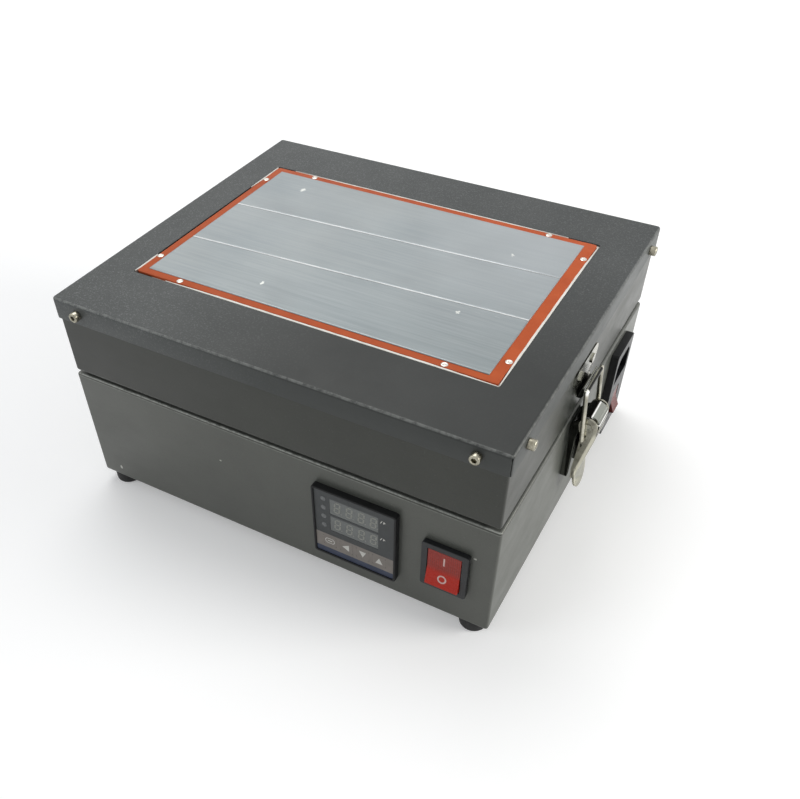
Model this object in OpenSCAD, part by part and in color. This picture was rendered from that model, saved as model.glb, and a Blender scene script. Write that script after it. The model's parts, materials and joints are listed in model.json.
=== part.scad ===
// Bench-top reflow oven: a shallow sheet-steel base with the electrics, and a hinged lid that
// carries a flat heating window on top.  Millimetres, +Z up, front towards -Y, latch on +X.
// The origin is under the middle of the whole outline, on the surface that the feet stand on.

/* [Case] */
// Width of the top cap, left to right
cap_w = 280; // [270:1:300]
// Depth of the top cap, front to back
cap_d = 240; // [230:1:260]
// Height of the metal body, without its feet
body_h = 135; // [135:1:150]
// Height of the base box
base_h = 80.5; // [80.5:0.5:90]
// Open seam between the base box and the lid box
seam = 2.5; // [2.4:0.1:4]
// How far the cap's skirt reaches down over the lid box
skirt_h = 13.5; // [12:0.5:16]
// How far the base box stands out past the lid box on each side
base_step = 0.9; // [0.2:0.1:2]
// Thickness of the cap and lid sheet
lid_t = 1.2; // [0.8:0.1:1.5]
// Thickness of the base box sheet
base_t = 1.5; // [1:0.1:2]

/* [Feet] */
// Height of the rubber feet
foot_h = 8; // [6:0.5:14]
// Radius of a foot at its top
foot_r = 8.6; // [8:0.1:8.8]
// Foot centre from the side of the base box
foot_in_x = 11.6; // [11:0.1:30]
// Foot centre from the front and back of the base box
foot_in_y = 9; // [9:0.1:30]

/* [Heating window] */
// Width of the opening in the cap
window_w = 231; // [200:1:235]
// Depth of the opening in the cap
window_d = 156; // [130:1:160]
// Centre of the opening, right of the middle of the cap
window_x = -1.15; // [-3:0.05:3]
// Centre of the opening, behind the middle of the cap
window_y = 1.85; // [-3:0.05:3]
// Width of the bare metal field
field_w = 216; // [190:1:220]
// Depth of the bare metal field
field_d = 143; // [120:1:147]
// Thickness of the heater mat
mat_t = 1.5; // [1:0.1:1.6]
// Thickness of the three heat-spreading plates
plate_t = 0.7; // [0.3:0.1:1]
// Slant of the joints between the plates, in degrees
plate_slant = 3; // [0:0.5:4]
// Gap between neighbouring plates
plate_gap = 0.4; // [0.2:0.1:1]

/* [Controller] */
// Side of the square bezel
ctrl_size = 53.4; // [52:0.2:54]
// Centre of the bezel, right of the middle
ctrl_x = 56.3; // [40:0.1:65]
// Centre of the bezel above the surface the oven stands on
ctrl_z = 48.5; // [46:0.1:51]
// How far the bezel stands out of the front panel
ctrl_proud = 4.2; // [3:0.1:5.5]
// Depth of the housing behind the panel
ctrl_depth = 78; // [60:1:100]

/* [Front switch] */
// Width of the switch bezel
sw_w = 27.4; // [25.4:0.2:28.4]
// Height of the switch bezel
sw_h = 34.2; // [31.2:0.2:36]
// Centre of the switch, right of the middle
sw_x = 111.7; // [105:0.1:118]
// Centre of the switch above the surface the oven stands on
sw_z = 48; // [35:0.1:55]
// Swing of the front rocker to either side of its middle, in degrees
rock_tilt = 6; // [4:0.5:6]
// Swing of the side rocker to either side of its middle, in degrees
side_tilt = 11; // [8:0.5:11]

/* [Mains inlet] */
// Width of the inlet bezel, along the side panel
inlet_w = 33; // [32:0.5:35]
// Height of the inlet bezel
inlet_h = 63.5; // [62:0.5:65]
// Thickness of the inlet bezel
inlet_t = 5; // [4:0.5:5.5]
// Centre of the inlet, behind the middle
inlet_y = 75.5; // [40:0.5:90]
// Centre of the inlet above the surface the oven stands on
inlet_z = 51; // [46:1:53]

/* [Latch] */
// Centre of the latch along the side panel, behind the middle
latch_y = -8.5; // [-30:0.5:20]
// Width of the lever
lever_w = 21; // [19:0.5:25]
// Radius of the rolled knuckle at the top of the lever
knuckle_r = 5.8; // [5.6:0.1:6.4]
// Length of the lever from its pin to the tip of its tongue
lever_len = 52.5; // [50:0.5:56]
// Radius of the bail wire
bail_r = 1.3; // [1:0.1:1.5]

/* [Hinges] */
// Length of one hinge
hinge_len = 36; // [30:1:50]
// Hinge centre from the middle of the left side
hinge_y = 72; // [50:1:85]
// Radius of the hinge barrel
barrel_r = 3.2; // [3:0.1:4]
// Hinge axis out from the side of the base box
hinge_out = 5.3; // [5:0.1:7]

/* [Hidden] */
$fn = 64;
eps = 0.01;
// Clearance between a pin and the hole that it turns in
fit = 0.05;

// Heights above the surface that the oven stands on
base_top = foot_h + base_h;
lid_bottom = base_top + seam;
top_z = foot_h + body_h;
mat_top = top_z - plate_t;
// The mat stands slightly proud of the cap
cap_top = mat_top - 0.3;
board_top = cap_top - lid_t;
skirt_bottom = cap_top - skirt_h;

// Outsides of the two boxes
lid_w = cap_w - 2 * lid_t;
lid_d = cap_d - 2 * lid_t;
base_w = lid_w + 2 * base_step;
base_d = lid_d;
side_x = base_w / 2;
front_y = -base_d / 2;

// Oven chamber
tray_t = 0.8;
tray_w = 222;
tray_d = 186;
tray_floor = 76;
tray_r = 4;
liner_t = 0.8;
liner_w = 262;
liner_d = 222;
board_t = 12;
liner_top = board_top - board_t;
seal_w = 5;
seal_gap = 0.3;
rim_w = 20;
lip_w = 10;

// Screws
cap_head_r = 2.9;
cap_head_h = 4;
cap_screw_x = 122.5;
cap_screw_y = 100.5;
cap_screw_z = cap_top - skirt_h / 2;

// Latch, in the plane across the side panel
pin_x = side_x + 10.3;
pin_z = 87.5;
bail_x = pin_x - 1.4;
bail_z = pin_z - 8.3;
hook_out = 5;
hook_low = 105.8;
hook_top = 113.2;
bar_x = lid_w / 2 + hook_out + 0.4 + bail_r;
bar_z = hook_top - 1;
bail_half = lever_w / 2 + 2.5;
ear_t = 1;
sheet = 1.2;

// Hinge axis
axis_x = -side_x - hinge_out;
axis_z = base_top + seam / 2;

// Front rocker: size, depth from the valley in its face to its pins, and reach of its foot
sw_rock_w = 19.6;
sw_rock_h = 26;
rocker_valley = 3.3;
rocker_reach = (rocker_valley + sw_rock_h / 2 * tan(rock_tilt)) * cos(rock_tilt)
    + sw_rock_h / 2 * sin(rock_tilt);

// Middle of the outline: barrels to knuckle, and foot of the front rocker to rear screw heads
mid_x = (axis_x - barrel_r + pin_x + knuckle_r) / 2;
mid_y = (front_y - rocker_reach + cap_d / 2 + cap_head_h) / 2;

// ---------------------------------------------------------------- shared shapes

// Moves everything so that the origin is under the middle of the outline
module place() {
    translate([-mid_x, -mid_y, 0]) children();
}

// Rectangle with round corners
module round_rect(w, d, r) {
    square([w - 2 * r, d], center = true);
    square([w, d - 2 * r], center = true);
    for (sx = [-1, 1], sy = [-1, 1])
        translate([sx * (w / 2 - r), sy * (d / 2 - r)]) circle(r);
}

// Flat rectangular ring, its outside w by d
module ring(w, d, border, h, r = 1) {
    linear_extrude(h) difference() {
        round_rect(w, d, r);
        square([w - 2 * border, d - 2 * border], center = true);
    }
}

// Direction and speed of a smooth curve as it passes point i of p
function pass_by(p, i) =
    let (last = len(p) - 1, a = p[i] - p[max(i - 1, 0)], b = p[min(i + 1, last)] - p[i])
    i == 0 ? b : i == last ? a : unit(a + b) * min(norm(a), norm(b));

// Point a share t of the way from p[i] to p[i + 1]
function curve_point(p, i, t) =
    (1 + 2 * t) * (1 - t) * (1 - t) * p[i] + t * (1 - t) * (1 - t) * pass_by(p, i)
    + t * t * (3 - 2 * t) * p[i + 1] + t * t * (t - 1) * pass_by(p, i + 1);

// Smooth curve through the points, with n steps between neighbours
function smooth_route(p, n) = [
    for (i = [0 : len(p) - 2], k = [0 : n - 1]) curve_point(p, i, k / n),
    p[len(p) - 1]
];

function unit(v) = v / norm(v);
function heading(p, i) = unit(p[min(i + 1, len(p) - 1)] - p[max(i - 1, 0)]);

// Round lead that follows a smooth curve through the points
module wire(points, r, sides = 8) {
    route = smooth_route(points, 4);
    aside = [0.28, 0.93, 0.24];
    rings = [
        for (i = [0 : len(route) - 1])
            let (t = heading(route, i), u = unit(cross(t, aside)), v = cross(u, t))
            for (k = [0 : sides - 1])
                route[i] + r * (cos(360 * k / sides) * u + sin(360 * k / sides) * v)
    ];
    last = (len(route) - 1) * sides;
    walls = [
        for (i = [0 : len(route) - 2], k = [0 : sides - 1])
            let (a = i * sides + k, b = i * sides + (k + 1) % sides)
            each [[a, b, b + sides], [a, b + sides, a + sides]]
    ];
    start = [[for (k = [sides - 1 : -1 : 0]) k]];
    end = [[for (k = [0 : sides - 1]) last + k]];
    polyhedron(rings, concat(start, walls, end));
}

// Socket head screw: its head stands on z = 0 and its shank hangs below
module socket_screw(head_r, head_h, shank_r, shank_len, socket) {
    difference() {
        union() {
            cylinder(h = head_h, r = head_r);
            translate([0, 0, -shank_len]) cylinder(h = shank_len + eps, r = shank_r);
        }
        translate([0, 0, head_h * 0.45])
            cylinder(h = head_h, r = socket, $fn = 6);
    }
}

// Low round head with a cross slot, shank below
module pan_screw(head_r, head_h, shank_r, shank_len) {
    difference() {
        union() {
            cylinder(h = head_h, r = head_r);
            translate([0, 0, -shank_len]) cylinder(h = shank_len + eps, r = shank_r);
        }
        for (a = [0, 90])
            rotate(a) translate([-head_r * 0.6, -0.35, head_h * 0.4])
                cube([head_r * 1.2, 0.7, head_h]);
    }
}

// Turns a shape that faces +Z to face the front (-Y), width along X
module to_front() {
    rotate([90, 0, 0]) children();
}

// Turns a shape that faces +Z to face right (+X), width along Y
module to_right() {
    rotate([90, 0, 90]) children();
}

// Turns a shape that faces +Z to face left (-X)
module to_left() {
    rotate([90, 0, -90]) children();
}

// The four feet, as places under the base box
module at_feet() {
    for (sx = [-1, 1], sy = [-1, 1])
        translate([sx * (base_w / 2 - foot_in_x), sy * (base_d / 2 - foot_in_y), 0]) children();
}

// The eight cap screws: two on each side, heads outwards
module at_cap_screws() {
    for (s = [-1, 1]) {
        translate([s * cap_screw_x, -cap_d / 2, cap_screw_z]) to_front() children();
        translate([s * cap_screw_x, cap_d / 2, cap_screw_z]) rotate([-90, 0, 0]) children();
        translate([cap_w / 2, s * cap_screw_y, cap_screw_z]) to_right() children();
        translate([-cap_w / 2, s * cap_screw_y, cap_screw_z]) to_left() children();
    }
}

// ---------------------------------------------------------------- base

tray_screw_x = 124;
tray_screw_y = 70;

module at_tray_screws() {
    for (sx = [-1, 1], y = [-tray_screw_y, 0, tray_screw_y])
        translate([sx * tray_screw_x, y, base_top]) children();
}

hinge_hole_z = 74;
hinge_hole_dy = 10;

// Screw places of both hinges on one side wall
module at_hinge_screws(z) {
    for (s = [-1, 1], dy = [-hinge_hole_dy, hinge_hole_dy])
        translate([0, s * hinge_y + dy, z]) to_left() children();
}

latch_rivet_z = [52, 72];
earth_at = [96, 100];

module lower_case() {
    color("dimgray") place() difference() {
        translate([-base_w / 2, -base_d / 2, foot_h]) cube([base_w, base_d, base_h]);
        translate([-base_w / 2 + base_t, -base_d / 2 + base_t, foot_h + base_t])
            cube([base_w - 2 * base_t, base_d - 2 * base_t, base_h - 2 * base_t]);
        // opening between the inward rims
        translate([-base_w / 2 + rim_w, -base_d / 2 + rim_w, base_top - base_t - 1])
            cube([base_w - 2 * rim_w, base_d - 2 * rim_w, base_t + 2]);
        at_feet() translate([0, 0, foot_h - 1]) cylinder(h = base_t + 2, r = 2);
        at_tray_screws() translate([0, 0, -base_t - 1]) cylinder(h = base_t + 2, r = 1.5);
        translate([ctrl_x, front_y + base_t + 1, ctrl_z]) to_front()
            linear_extrude(base_t + 2) square(45, center = true);
        translate([sw_x, front_y + base_t + 1, sw_z]) to_front()
            linear_extrude(base_t + 2) square([sw_body_w + 0.4, sw_body_h + 0.4], center = true);
        translate([side_x - base_t - 1, inlet_y, inlet_z]) to_right()
            linear_extrude(base_t + 2) square([inlet_body_w + 0.4, inlet_body_h + 0.4], center = true);
        for (z = latch_rivet_z)
            translate([side_x - base_t - 1, latch_y, z]) to_right()
                cylinder(h = base_t + 2, r = 1.6);
        translate([-side_x + base_t + 1, 0, 0])
            at_hinge_screws(hinge_hole_z) cylinder(h = base_t + 2, r = 1.5);
        translate([earth_at.x, earth_at.y, foot_h - 1]) cylinder(h = base_t + 2, r = 2);
    }
}

module feet() {
    color("#1c1c1c") place() at_feet() rotate_extrude() polygon([
        [2, foot_h], [foot_r, foot_h], [foot_r, foot_h * 0.2], [foot_r - 0.2, foot_h * 0.08],
        [foot_r - 0.5, foot_h * 0.02], [foot_r - 0.9, 0], [4.4, 0], [4.4, 3], [2, 3]
    ]);
}

module foot_screws() {
    color("silver") place() at_feet() translate([0, 0, 3]) rotate([180, 0, 0])
        pan_screw(3.8, 2.2, 2, foot_h - 3 + base_t + 5);
}

module foot_nuts() {
    color("silver") place() at_feet() translate([0, 0, foot_h + base_t]) difference() {
        cylinder(h = 3, r = 4, $fn = 6);
        translate([0, 0, -1]) cylinder(h = 5, r = 2);
    }
}

// Flat frame that lies on the base's rim
module deck_frame() {
    color("gainsboro") place() difference() {
        translate([0, 0, base_top]) linear_extrude(tray_t) round_rect(268, 226, 4);
        translate([0, 0, base_top - 1]) linear_extrude(tray_t + 2)
            round_rect(tray_w - 2 * tray_t, tray_d - 2 * tray_t, tray_r - tray_t);
        at_tray_screws() translate([0, 0, -1]) cylinder(h = 3, r = 1.5);
    }
}

// Chamber floor and walls, welded under the frame
module chamber_pan() {
    color("gainsboro") place() difference() {
        translate([0, 0, tray_floor]) linear_extrude(base_top - tray_floor)
            round_rect(tray_w, tray_d, tray_r);
        translate([0, 0, tray_floor + tray_t]) linear_extrude(base_top)
            round_rect(tray_w - 2 * tray_t, tray_d - 2 * tray_t, tray_r - tray_t);
    }
}

module tray_screws() {
    color("silver") place() at_tray_screws() translate([0, 0, tray_t])
        pan_screw(2.7, 1.5, 1.5, 6);
}

// Ceramic paper under the chamber floor
module tray_pad() {
    color("white") place() translate([0, 0, tray_floor - 2.5]) linear_extrude(2.5)
        round_rect(tray_w - 12, tray_d - 12, 3);
}

// ---------------------------------------------------------------- controller

face_in = 0.8;
ctrl_field = ctrl_size - 2.8;
ctrl_body = 44.6;
ctrl_front = front_y - ctrl_proud;
digit_w = 30.9;
digit_h = 12;
digit_x = 0;
digit_rows = [14.6, 1.0];
lamp_x = -19.4;
lamp_z = [19.0, 12.1, 5.1, -2.0];
key_w = 8.4;
key_h = 7.4;
key_z = -14.6;
key_x = [-16.2, -5.4, 5.4, 16.1];
key_out = 0.1;
key_gap = 0.12;

// Centre of the controller on the front panel, facing outwards
module at_controller(out = 0) {
    translate([ctrl_x, front_y - out, ctrl_z]) to_front() children();
}

module controller_bezel() {
    color("#202022") place() at_controller() difference() {
        linear_extrude(ctrl_proud) round_rect(ctrl_size, ctrl_size, 1.5);
        translate([0, 0, -1]) linear_extrude(ctrl_proud + 2)
            round_rect(ctrl_field, ctrl_field, 1);
    }
}

module controller_face() {
    color("#2c2f33") place() at_controller() difference() {
        linear_extrude(ctrl_proud - face_in) round_rect(ctrl_field, ctrl_field, 1);
        for (z = digit_rows)
            translate([digit_x, z, ctrl_proud - face_in - 1]) linear_extrude(2)
                square([digit_w, digit_h], center = true);
        for (z = lamp_z)
            translate([lamp_x, z, ctrl_proud - face_in - 1]) cylinder(h = 2, r = 0.9);
        for (x = key_x)
            translate([x, key_z, ctrl_proud - face_in - 2]) linear_extrude(3)
                round_rect(key_w + 2 * key_gap, key_h + 2 * key_gap, 0.8);
    }
}

module display_windows() {
    color("#6f7478") place() at_controller(ctrl_proud - face_in - 1)
        for (z = digit_rows)
            translate([digit_x, z, 0]) linear_extrude(0.8)
                square([digit_w, digit_h], center = true);
}

module indicator_lamps() {
    color("#8a8f90") place() at_controller(ctrl_proud - face_in - 1)
        for (z = lamp_z) translate([lamp_x, z, 0]) cylinder(h = 1.2, r = 0.9);
}

// One push key, centred on its place in the key row
module panel_key(i) {
    place() at_controller(ctrl_proud - face_in - 1.4)
        translate([key_x[i], key_z, 0]) linear_extrude(1.4 + key_out)
            round_rect(key_w, key_h, 0.8);
}

module key_set() { color("#77736c") panel_key(0); }
module key_left() { color("#77736c") panel_key(1); }
module key_down() { color("#77736c") panel_key(2); }
module key_up() { color("#77736c") panel_key(3); }

module controller_housing() {
    color("#252527") place() at_controller(-ctrl_depth) difference() {
        linear_extrude(ctrl_depth) square(ctrl_body, center = true);
        // recessed terminal rows at the back
        for (s = [-1, 1])
            translate([s * 14, 0, -1]) linear_extrude(6) square([9, 36], center = true);
    }
}

module controller_clamp() {
    color("#303033") place() at_controller(-base_t - 11) difference() {
        linear_extrude(11) square(51, center = true);
        translate([0, 0, -1]) linear_extrude(13) square(ctrl_body, center = true);
    }
}

// ---------------------------------------------------------------- rocker switches

rocker_pin_r = 1.5;

// Profile of a rocker of height h, in height and depth: both halves rise from a shallow valley,
// so that the pressed half lies level with the panel
module rocker_profile(h, tilt) {
    end = rocker_valley + h / 2 * tan(tilt);
    polygon([
        [-h / 2, -3], [-h * 0.3, -5], [h * 0.3, -5], [h / 2, -3],
        [h / 2, end], [0, rocker_valley], [-h / 2, end]
    ]);
}

// Rocker w by h that faces +Z and swings about X, with its top end pressed in
module rocker(w, h, tilt) {
    rotate([-tilt, 0, 0]) union() {
        translate([-w / 2, 0, 0]) rotate([90, 0, 90]) linear_extrude(w) rocker_profile(h, tilt);
        translate([-w / 2 - 1, 0, 0]) rotate([0, 90, 0]) cylinder(h = w + 2, r = rocker_pin_r);
    }
}

// Clear space for a rocker w by h with some play at its ends, and the bores for its pins
module rocker_space(w, h, front, play) {
    translate([0, 0, -9]) linear_extrude(front + 10)
        square([w + 0.6, h + 2 * play], center = true);
    translate([-w / 2 - 1.1, 0, 0]) rotate([0, 90, 0])
        cylinder(h = w + 2.2, r = rocker_pin_r + fit);
}

sw_body_w = 22.6;
sw_body_h = 29;
sw_body_d = 19;
sw_bezel_t = 3.5;

module at_switch() {
    translate([sw_x, front_y, sw_z]) to_front() children();
}

module switch_housing() {
    color("#1b1b1d") place() at_switch() difference() {
        union() {
            linear_extrude(sw_bezel_t) round_rect(sw_w, sw_h, 1.5);
            translate([0, 0, -sw_body_d]) linear_extrude(sw_body_d + eps)
                square([sw_body_w, sw_body_h], center = true);
            for (x = [-6, 6], y = [-7, 7])
                translate([x - 0.4, y - 3, -sw_body_d - 7]) cube([0.8, 6, 7 + eps]);
        }
        rocker_space(sw_rock_w, sw_rock_h, sw_bezel_t, 0.6);
    }
}

module switch_rocker() {
    color("#c8281e") place() at_switch() rocker(sw_rock_w, sw_rock_h, rock_tilt);
}

inlet_body_w = 27;
inlet_body_h = 57;
inlet_body_d = 26;
inlet_rock_w = 11;
inlet_rock_h = 17;
// Heights of the socket and of the rocker from the middle of the bezel
socket_up = 16.5;
rocker_down = 12;
// How far the axis of the side rocker lies out from the panel
inlet_rock_out = inlet_t - 3.5;

module at_inlet() {
    translate([side_x, inlet_y, inlet_z]) to_right() children();
}

// Outline of the socket: a rectangle with its two upper corners cut off
module socket_outline(w, h) {
    cut = 4;
    polygon([
        [-w / 2, -h / 2], [w / 2, -h / 2], [w / 2, h / 2 - cut], [w / 2 - cut, h / 2],
        [-w / 2 + cut, h / 2], [-w / 2, h / 2 - cut]
    ]);
}

module inlet_housing() {
    color("#1e1e20") place() at_inlet() difference() {
        union() {
            linear_extrude(inlet_t) round_rect(inlet_w, inlet_h, 2);
            translate([0, 0, -inlet_body_d]) linear_extrude(inlet_body_d + eps)
                square([inlet_body_w, inlet_body_h], center = true);
            // tab terminals at the back
            for (p = [[-6, 18], [6, 18], [0, 8], [-4, -10], [-4, -20]])
                translate([p.x - 3, p.y - 0.4, -inlet_body_d - 7]) cube([6, 0.8, 7 + eps]);
        }
        translate([0, socket_up, -15]) linear_extrude(inlet_t + 16) socket_outline(25, 18);
        translate([0, -rocker_down, inlet_rock_out])
            rocker_space(inlet_rock_w, inlet_rock_h, inlet_t - inlet_rock_out, 1);
    }
}

module inlet_pins() {
    color("silver") place() at_inlet() for (p = [[-7, -2], [7, -2], [0, 2]])
        translate([p.x - 1, socket_up + p.y - 2, -15]) cube([2, 4, 13]);
}

module inlet_rocker() {
    color("#c8281e") place() at_inlet() translate([0, -rocker_down, inlet_rock_out])
        rocker(inlet_rock_w, inlet_rock_h, side_tilt);
}

// ---------------------------------------------------------------- electrics on the base floor

floor_z = foot_h + base_t;
relay_at = [-58, 6];
block_at = [22, 84];

module relay_heatsink() {
    color("silver") place() translate([relay_at.x, relay_at.y, floor_z]) {
        translate([-40, -30, 0]) cube([80, 60, 3]);
        for (x = [-38 : 8 : -30]) translate([x, -30, 3 - eps]) cube([1.5, 60, 12]);
        for (x = [28.5 : 8 : 36.5]) translate([x, -30, 3 - eps]) cube([1.5, 60, 12]);
    }
}

module relay() {
    color("whitesmoke") place() translate([relay_at.x, relay_at.y, floor_z + 3]) difference() {
        translate([-22.5, -30, 0]) cube([45, 60, 23]);
        for (s = [-1, 1])
            translate([-23.5, s * 23 - 4, 14]) cube([47, 8, 10]);
    }
}

module terminal_block() {
    color("#e8e6dc") place() translate([block_at.x, block_at.y, floor_z]) difference() {
        translate([-35, -11, 0]) cube([70, 22, 17]);
        for (i = [0 : 5], s = [-1, 1]) translate([-29 + i * 11.6, s * 5, 8]) cylinder(h = 10, r = 2.2);
    }
}

module earth_stud() {
    color("#c9a227") place() translate([earth_at.x, earth_at.y, 0]) {
        translate([0, 0, foot_h - 1.5]) cylinder(h = 1.5, r = 3.6);
        translate([0, 0, foot_h - eps]) cylinder(h = base_t + 12, r = 2);
        translate([0, 0, floor_z]) difference() {
            cylinder(h = 3, r = 3.9, $fn = 6);
            translate([0, 0, -1]) cylinder(h = 5, r = 1.9);
        }
    }
}

// Live, neutral and earth from the inlet's tabs
module mains_leads() {
    tab_x = side_x - inlet_body_d - 7;
    color("saddlebrown") place() {
        for (i = [0, 1]) {
            y = inlet_y - 6 + 12 * i;
            x = block_at.x + 17.4 + 11.6 * i;
            wire([
                [tab_x, y, inlet_z + 18], [tab_x - 10, y, inlet_z + 18],
                [tab_x - 16, y, inlet_z + 8], [x + 14, block_at.y + 5 - 8 * (1 - i), 50],
                [x, block_at.y + 5, 42], [x, block_at.y + 5, floor_z + 8]
            ], 1.4);
        }
        wire([
            [tab_x, inlet_y, inlet_z + 8], [tab_x - 6, inlet_y, inlet_z + 8],
            [earth_at.x, inlet_y + 16, 46], [earth_at.x, earth_at.y, 34],
            [earth_at.x, earth_at.y, floor_z + 12]
        ], 1.4);
    }
}

// Controller to relay, and block to relay
module control_leads() {
    back_y = front_y + ctrl_depth;
    color("firebrick") place() {
        for (i = [0, 1]) {
            x = relay_at.x + 12 - 14 * i;
            z = 50 + 8 * i;
            wire([
                [ctrl_x - 14, back_y - 5, z], [ctrl_x - 14, back_y + 5, z],
                [ctrl_x - 26, back_y + 12, z], [relay_at.x + 40, -17, z],
                [x + 10, -17, 46 + 4 * i], [x, -17, 40], [x, -17, floor_z + 17]
            ], 1.1);
        }
        wire([
            [block_at.x - 29, block_at.y - 5, floor_z + 8], [block_at.x - 29, block_at.y - 5, 40],
            [block_at.x - 36, block_at.y - 16, 48], [relay_at.x + 20, 36, 48],
            [relay_at.x + 14, 29, 42], [relay_at.x + 14, 29, floor_z + 17]
        ], 1.4);
    }
}

// ---------------------------------------------------------------- latch

// Half width over the ears of the base, which stand just inside the lever's cheeks
base_half = lever_w / 2 - sheet - 0.2;
base_low = 45;

// Draws a shape of the plane across the side panel (x outwards, y up) with a width along Y
module across(width, from = 0) {
    translate([0, latch_y + from + width / 2, 0]) rotate([90, 0, 0]) linear_extrude(width) children();
}

// Side flange of the base, which runs up into the ear that holds the pin
module base_ear() {
    ear_r = 4.2;
    translate([pin_x, pin_z]) circle(ear_r);
    polygon([
        [side_x, base_low], [side_x + 4.2, base_low], [side_x + 4.7, base_low + 3],
        [side_x + 4.7, pin_z - 9], [pin_x + ear_r * 0.5, pin_z - ear_r * 0.85],
        [pin_x, pin_z + ear_r], [side_x + 3, pin_z + 1], [side_x, pin_z - 3]
    ]);
}

module latch_base() {
    color("silver") place() difference() {
        union() {
            translate([side_x, latch_y - base_half, base_low])
                cube([sheet, 2 * base_half, pin_z - 3 - base_low]);
            for (s = [-1, 1]) across(ear_t, s * (base_half - ear_t / 2)) base_ear();
        }
        across(40) translate([pin_x, pin_z]) circle(1.5);
        for (z = latch_rivet_z)
            translate([side_x - 1, latch_y, z]) to_right() cylinder(h = 4, r = 1.6);
    }
}

module latch_rivets() {
    color("silver") place() for (z = latch_rivet_z)
        translate([side_x, latch_y, z]) to_right() {
            translate([0, 0, -base_t - 1.2]) cylinder(h = base_t + 1.2 + sheet + eps, r = 1.6);
            translate([0, 0, sheet]) cylinder(h = 1, r = 3);
            translate([0, 0, -base_t - 1.2]) cylinder(h = 1.2, r = 2.8);
        }
}

module latch_pin() {
    head = 0.8;
    out = lever_w / 2 + 0.1;
    color("silver") place() {
        across(2 * out + eps) translate([pin_x, pin_z]) circle(1.5);
        for (s = [-1, 1])
            across(head, s * (out + head / 2)) translate([pin_x, pin_z]) circle(2.4);
    }
}

// Outer face of the lever from the knuckle down to its waist, and on to the tip of its tongue
tip_z = pin_z - lever_len;
waist_z = tip_z + lever_w / 2 + 1;
lever_face = [
    [pin_x + knuckle_r, pin_z + eps], [pin_x + knuckle_r - 0.1, pin_z - 4],
    [pin_x + knuckle_r - 0.7, pin_z - 10], [pin_x + 3.6, pin_z - 17], [pin_x + 1.9, pin_z - 25],
    [pin_x - 0.1, pin_z - 34], [pin_x - 1.2, waist_z], [pin_x + 0.9, tip_z]
];

// The roll is shorter than the lever: it turns between the two ears
knuckle_half = base_half - ear_t - 0.4;

module lever_roll() {
    difference() {
        translate([pin_x, pin_z]) circle(knuckle_r);
        translate([pin_x, pin_z]) circle(knuckle_r - sheet);
        translate([pin_x - 20, pin_z - 20]) square([20, 20]);
    }
}

module lever_skin() {
    last = len(lever_face) - 1;
    polygon(concat(lever_face, [for (i = [last : -1 : 0]) lever_face[i] - [sheet, 0]]));
}

// Side cheek of the lever, with the eyes for its own pin and for the bail
module lever_cheek() {
    translate([pin_x, pin_z]) circle(knuckle_r - 0.4);
    polygon(concat([for (i = [1 : 6]) lever_face[i]], [
        [pin_x - 3.8, waist_z], [pin_x - 4.2, pin_z - 34], [pin_x - 3.4, pin_z - 22],
        [pin_x - 2.9, pin_z - 11], [pin_x - 5, pin_z - 2], [pin_x, pin_z],
        [pin_x + knuckle_r - 0.42, pin_z]
    ]));
}

// Face of the lever: full width below the ears, a half round tongue, and the narrower roll on top
module lever_outline() {
    translate([-lever_w / 2, tip_z + lever_w / 2])
        square([lever_w, pin_z - 6 - tip_z - lever_w / 2]);
    translate([0, tip_z + lever_w / 2]) circle(lever_w / 2);
    translate([-knuckle_half, pin_z - 7]) square([2 * knuckle_half, knuckle_r + 8]);
}

module latch_lever() {
    color("gainsboro") place() difference() {
        union() {
            intersection() {
                across(lever_w) union() {
                    lever_roll();
                    lever_skin();
                }
                translate([side_x - 5, latch_y, 0]) to_right() linear_extrude(40) lever_outline();
            }
            for (s = [-1, 1])
                across(sheet, s * (lever_w - sheet) / 2) lever_cheek();
        }
        across(lever_w + 2) translate([pin_x, pin_z]) circle(1.5 + fit);
        across(lever_w + 2) translate([bail_x, bail_z]) circle(bail_r + fit);
    }
}

module latch_bail() {
    lean = atan2(bail_x - bar_x, bar_z - bail_z);
    arm = norm([bail_x - bar_x, bar_z - bail_z]);
    color("silver") place() translate([0, latch_y, 0]) {
        for (s = [-1, 1]) {
            translate([bail_x, s * bail_half, bail_z]) rotate([0, -lean, 0])
                cylinder(h = arm, r = bail_r, $fn = 32);
            translate([bail_x, s * bail_half, bail_z]) sphere(bail_r, $fn = 32);
            translate([bar_x, s * bail_half, bar_z]) sphere(bail_r, $fn = 32);
            // the wire's ends turn inwards through the cheeks
            translate([bail_x, s * bail_half, bail_z]) rotate([s * 90, 0, 0])
                cylinder(h = bail_half - lever_w / 2 + sheet + 1, r = bail_r);
        }
        translate([bar_x, -bail_half, bar_z]) rotate([-90, 0, 0])
            cylinder(h = 2 * bail_half, r = bail_r, $fn = 32);
    }
}

strike_w = 38;
strike_t = 1.1;
strike_top = 125.5;
strike_r = 5.5;
strike_rivet_dy = 9.5;
strike_rivet_z = 119;
// The hook is as wide as the clear width inside the bail, less some play
hook_half = bail_half - bail_r - 0.5;

// Point in which the line from b touches the right side of a circle of radius r round c
function touch_point(c, r, b) =
    let (d = norm(c - b), a = atan2(c.y - b.y, c.x - b.x) - asin(r / d))
    b + sqrt(d * d - r * r) * [cos(a), sin(a)];

// Flat of the strike plate: round upper corners, sides that run in to the width of the hook
module strike_outline() {
    c = [strike_w / 2 - strike_r, strike_top - strike_r];
    b = [hook_half, hook_low + hook_out / 2 - eps];
    t = touch_point(c, strike_r, b);
    polygon([
        [-c.x, strike_top], [-t.x, t.y], [-b.x, b.y], b, t, [c.x, strike_top]
    ]);
    for (s = [-1, 1]) translate([s * c.x, c.y]) circle(strike_r);
}

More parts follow.
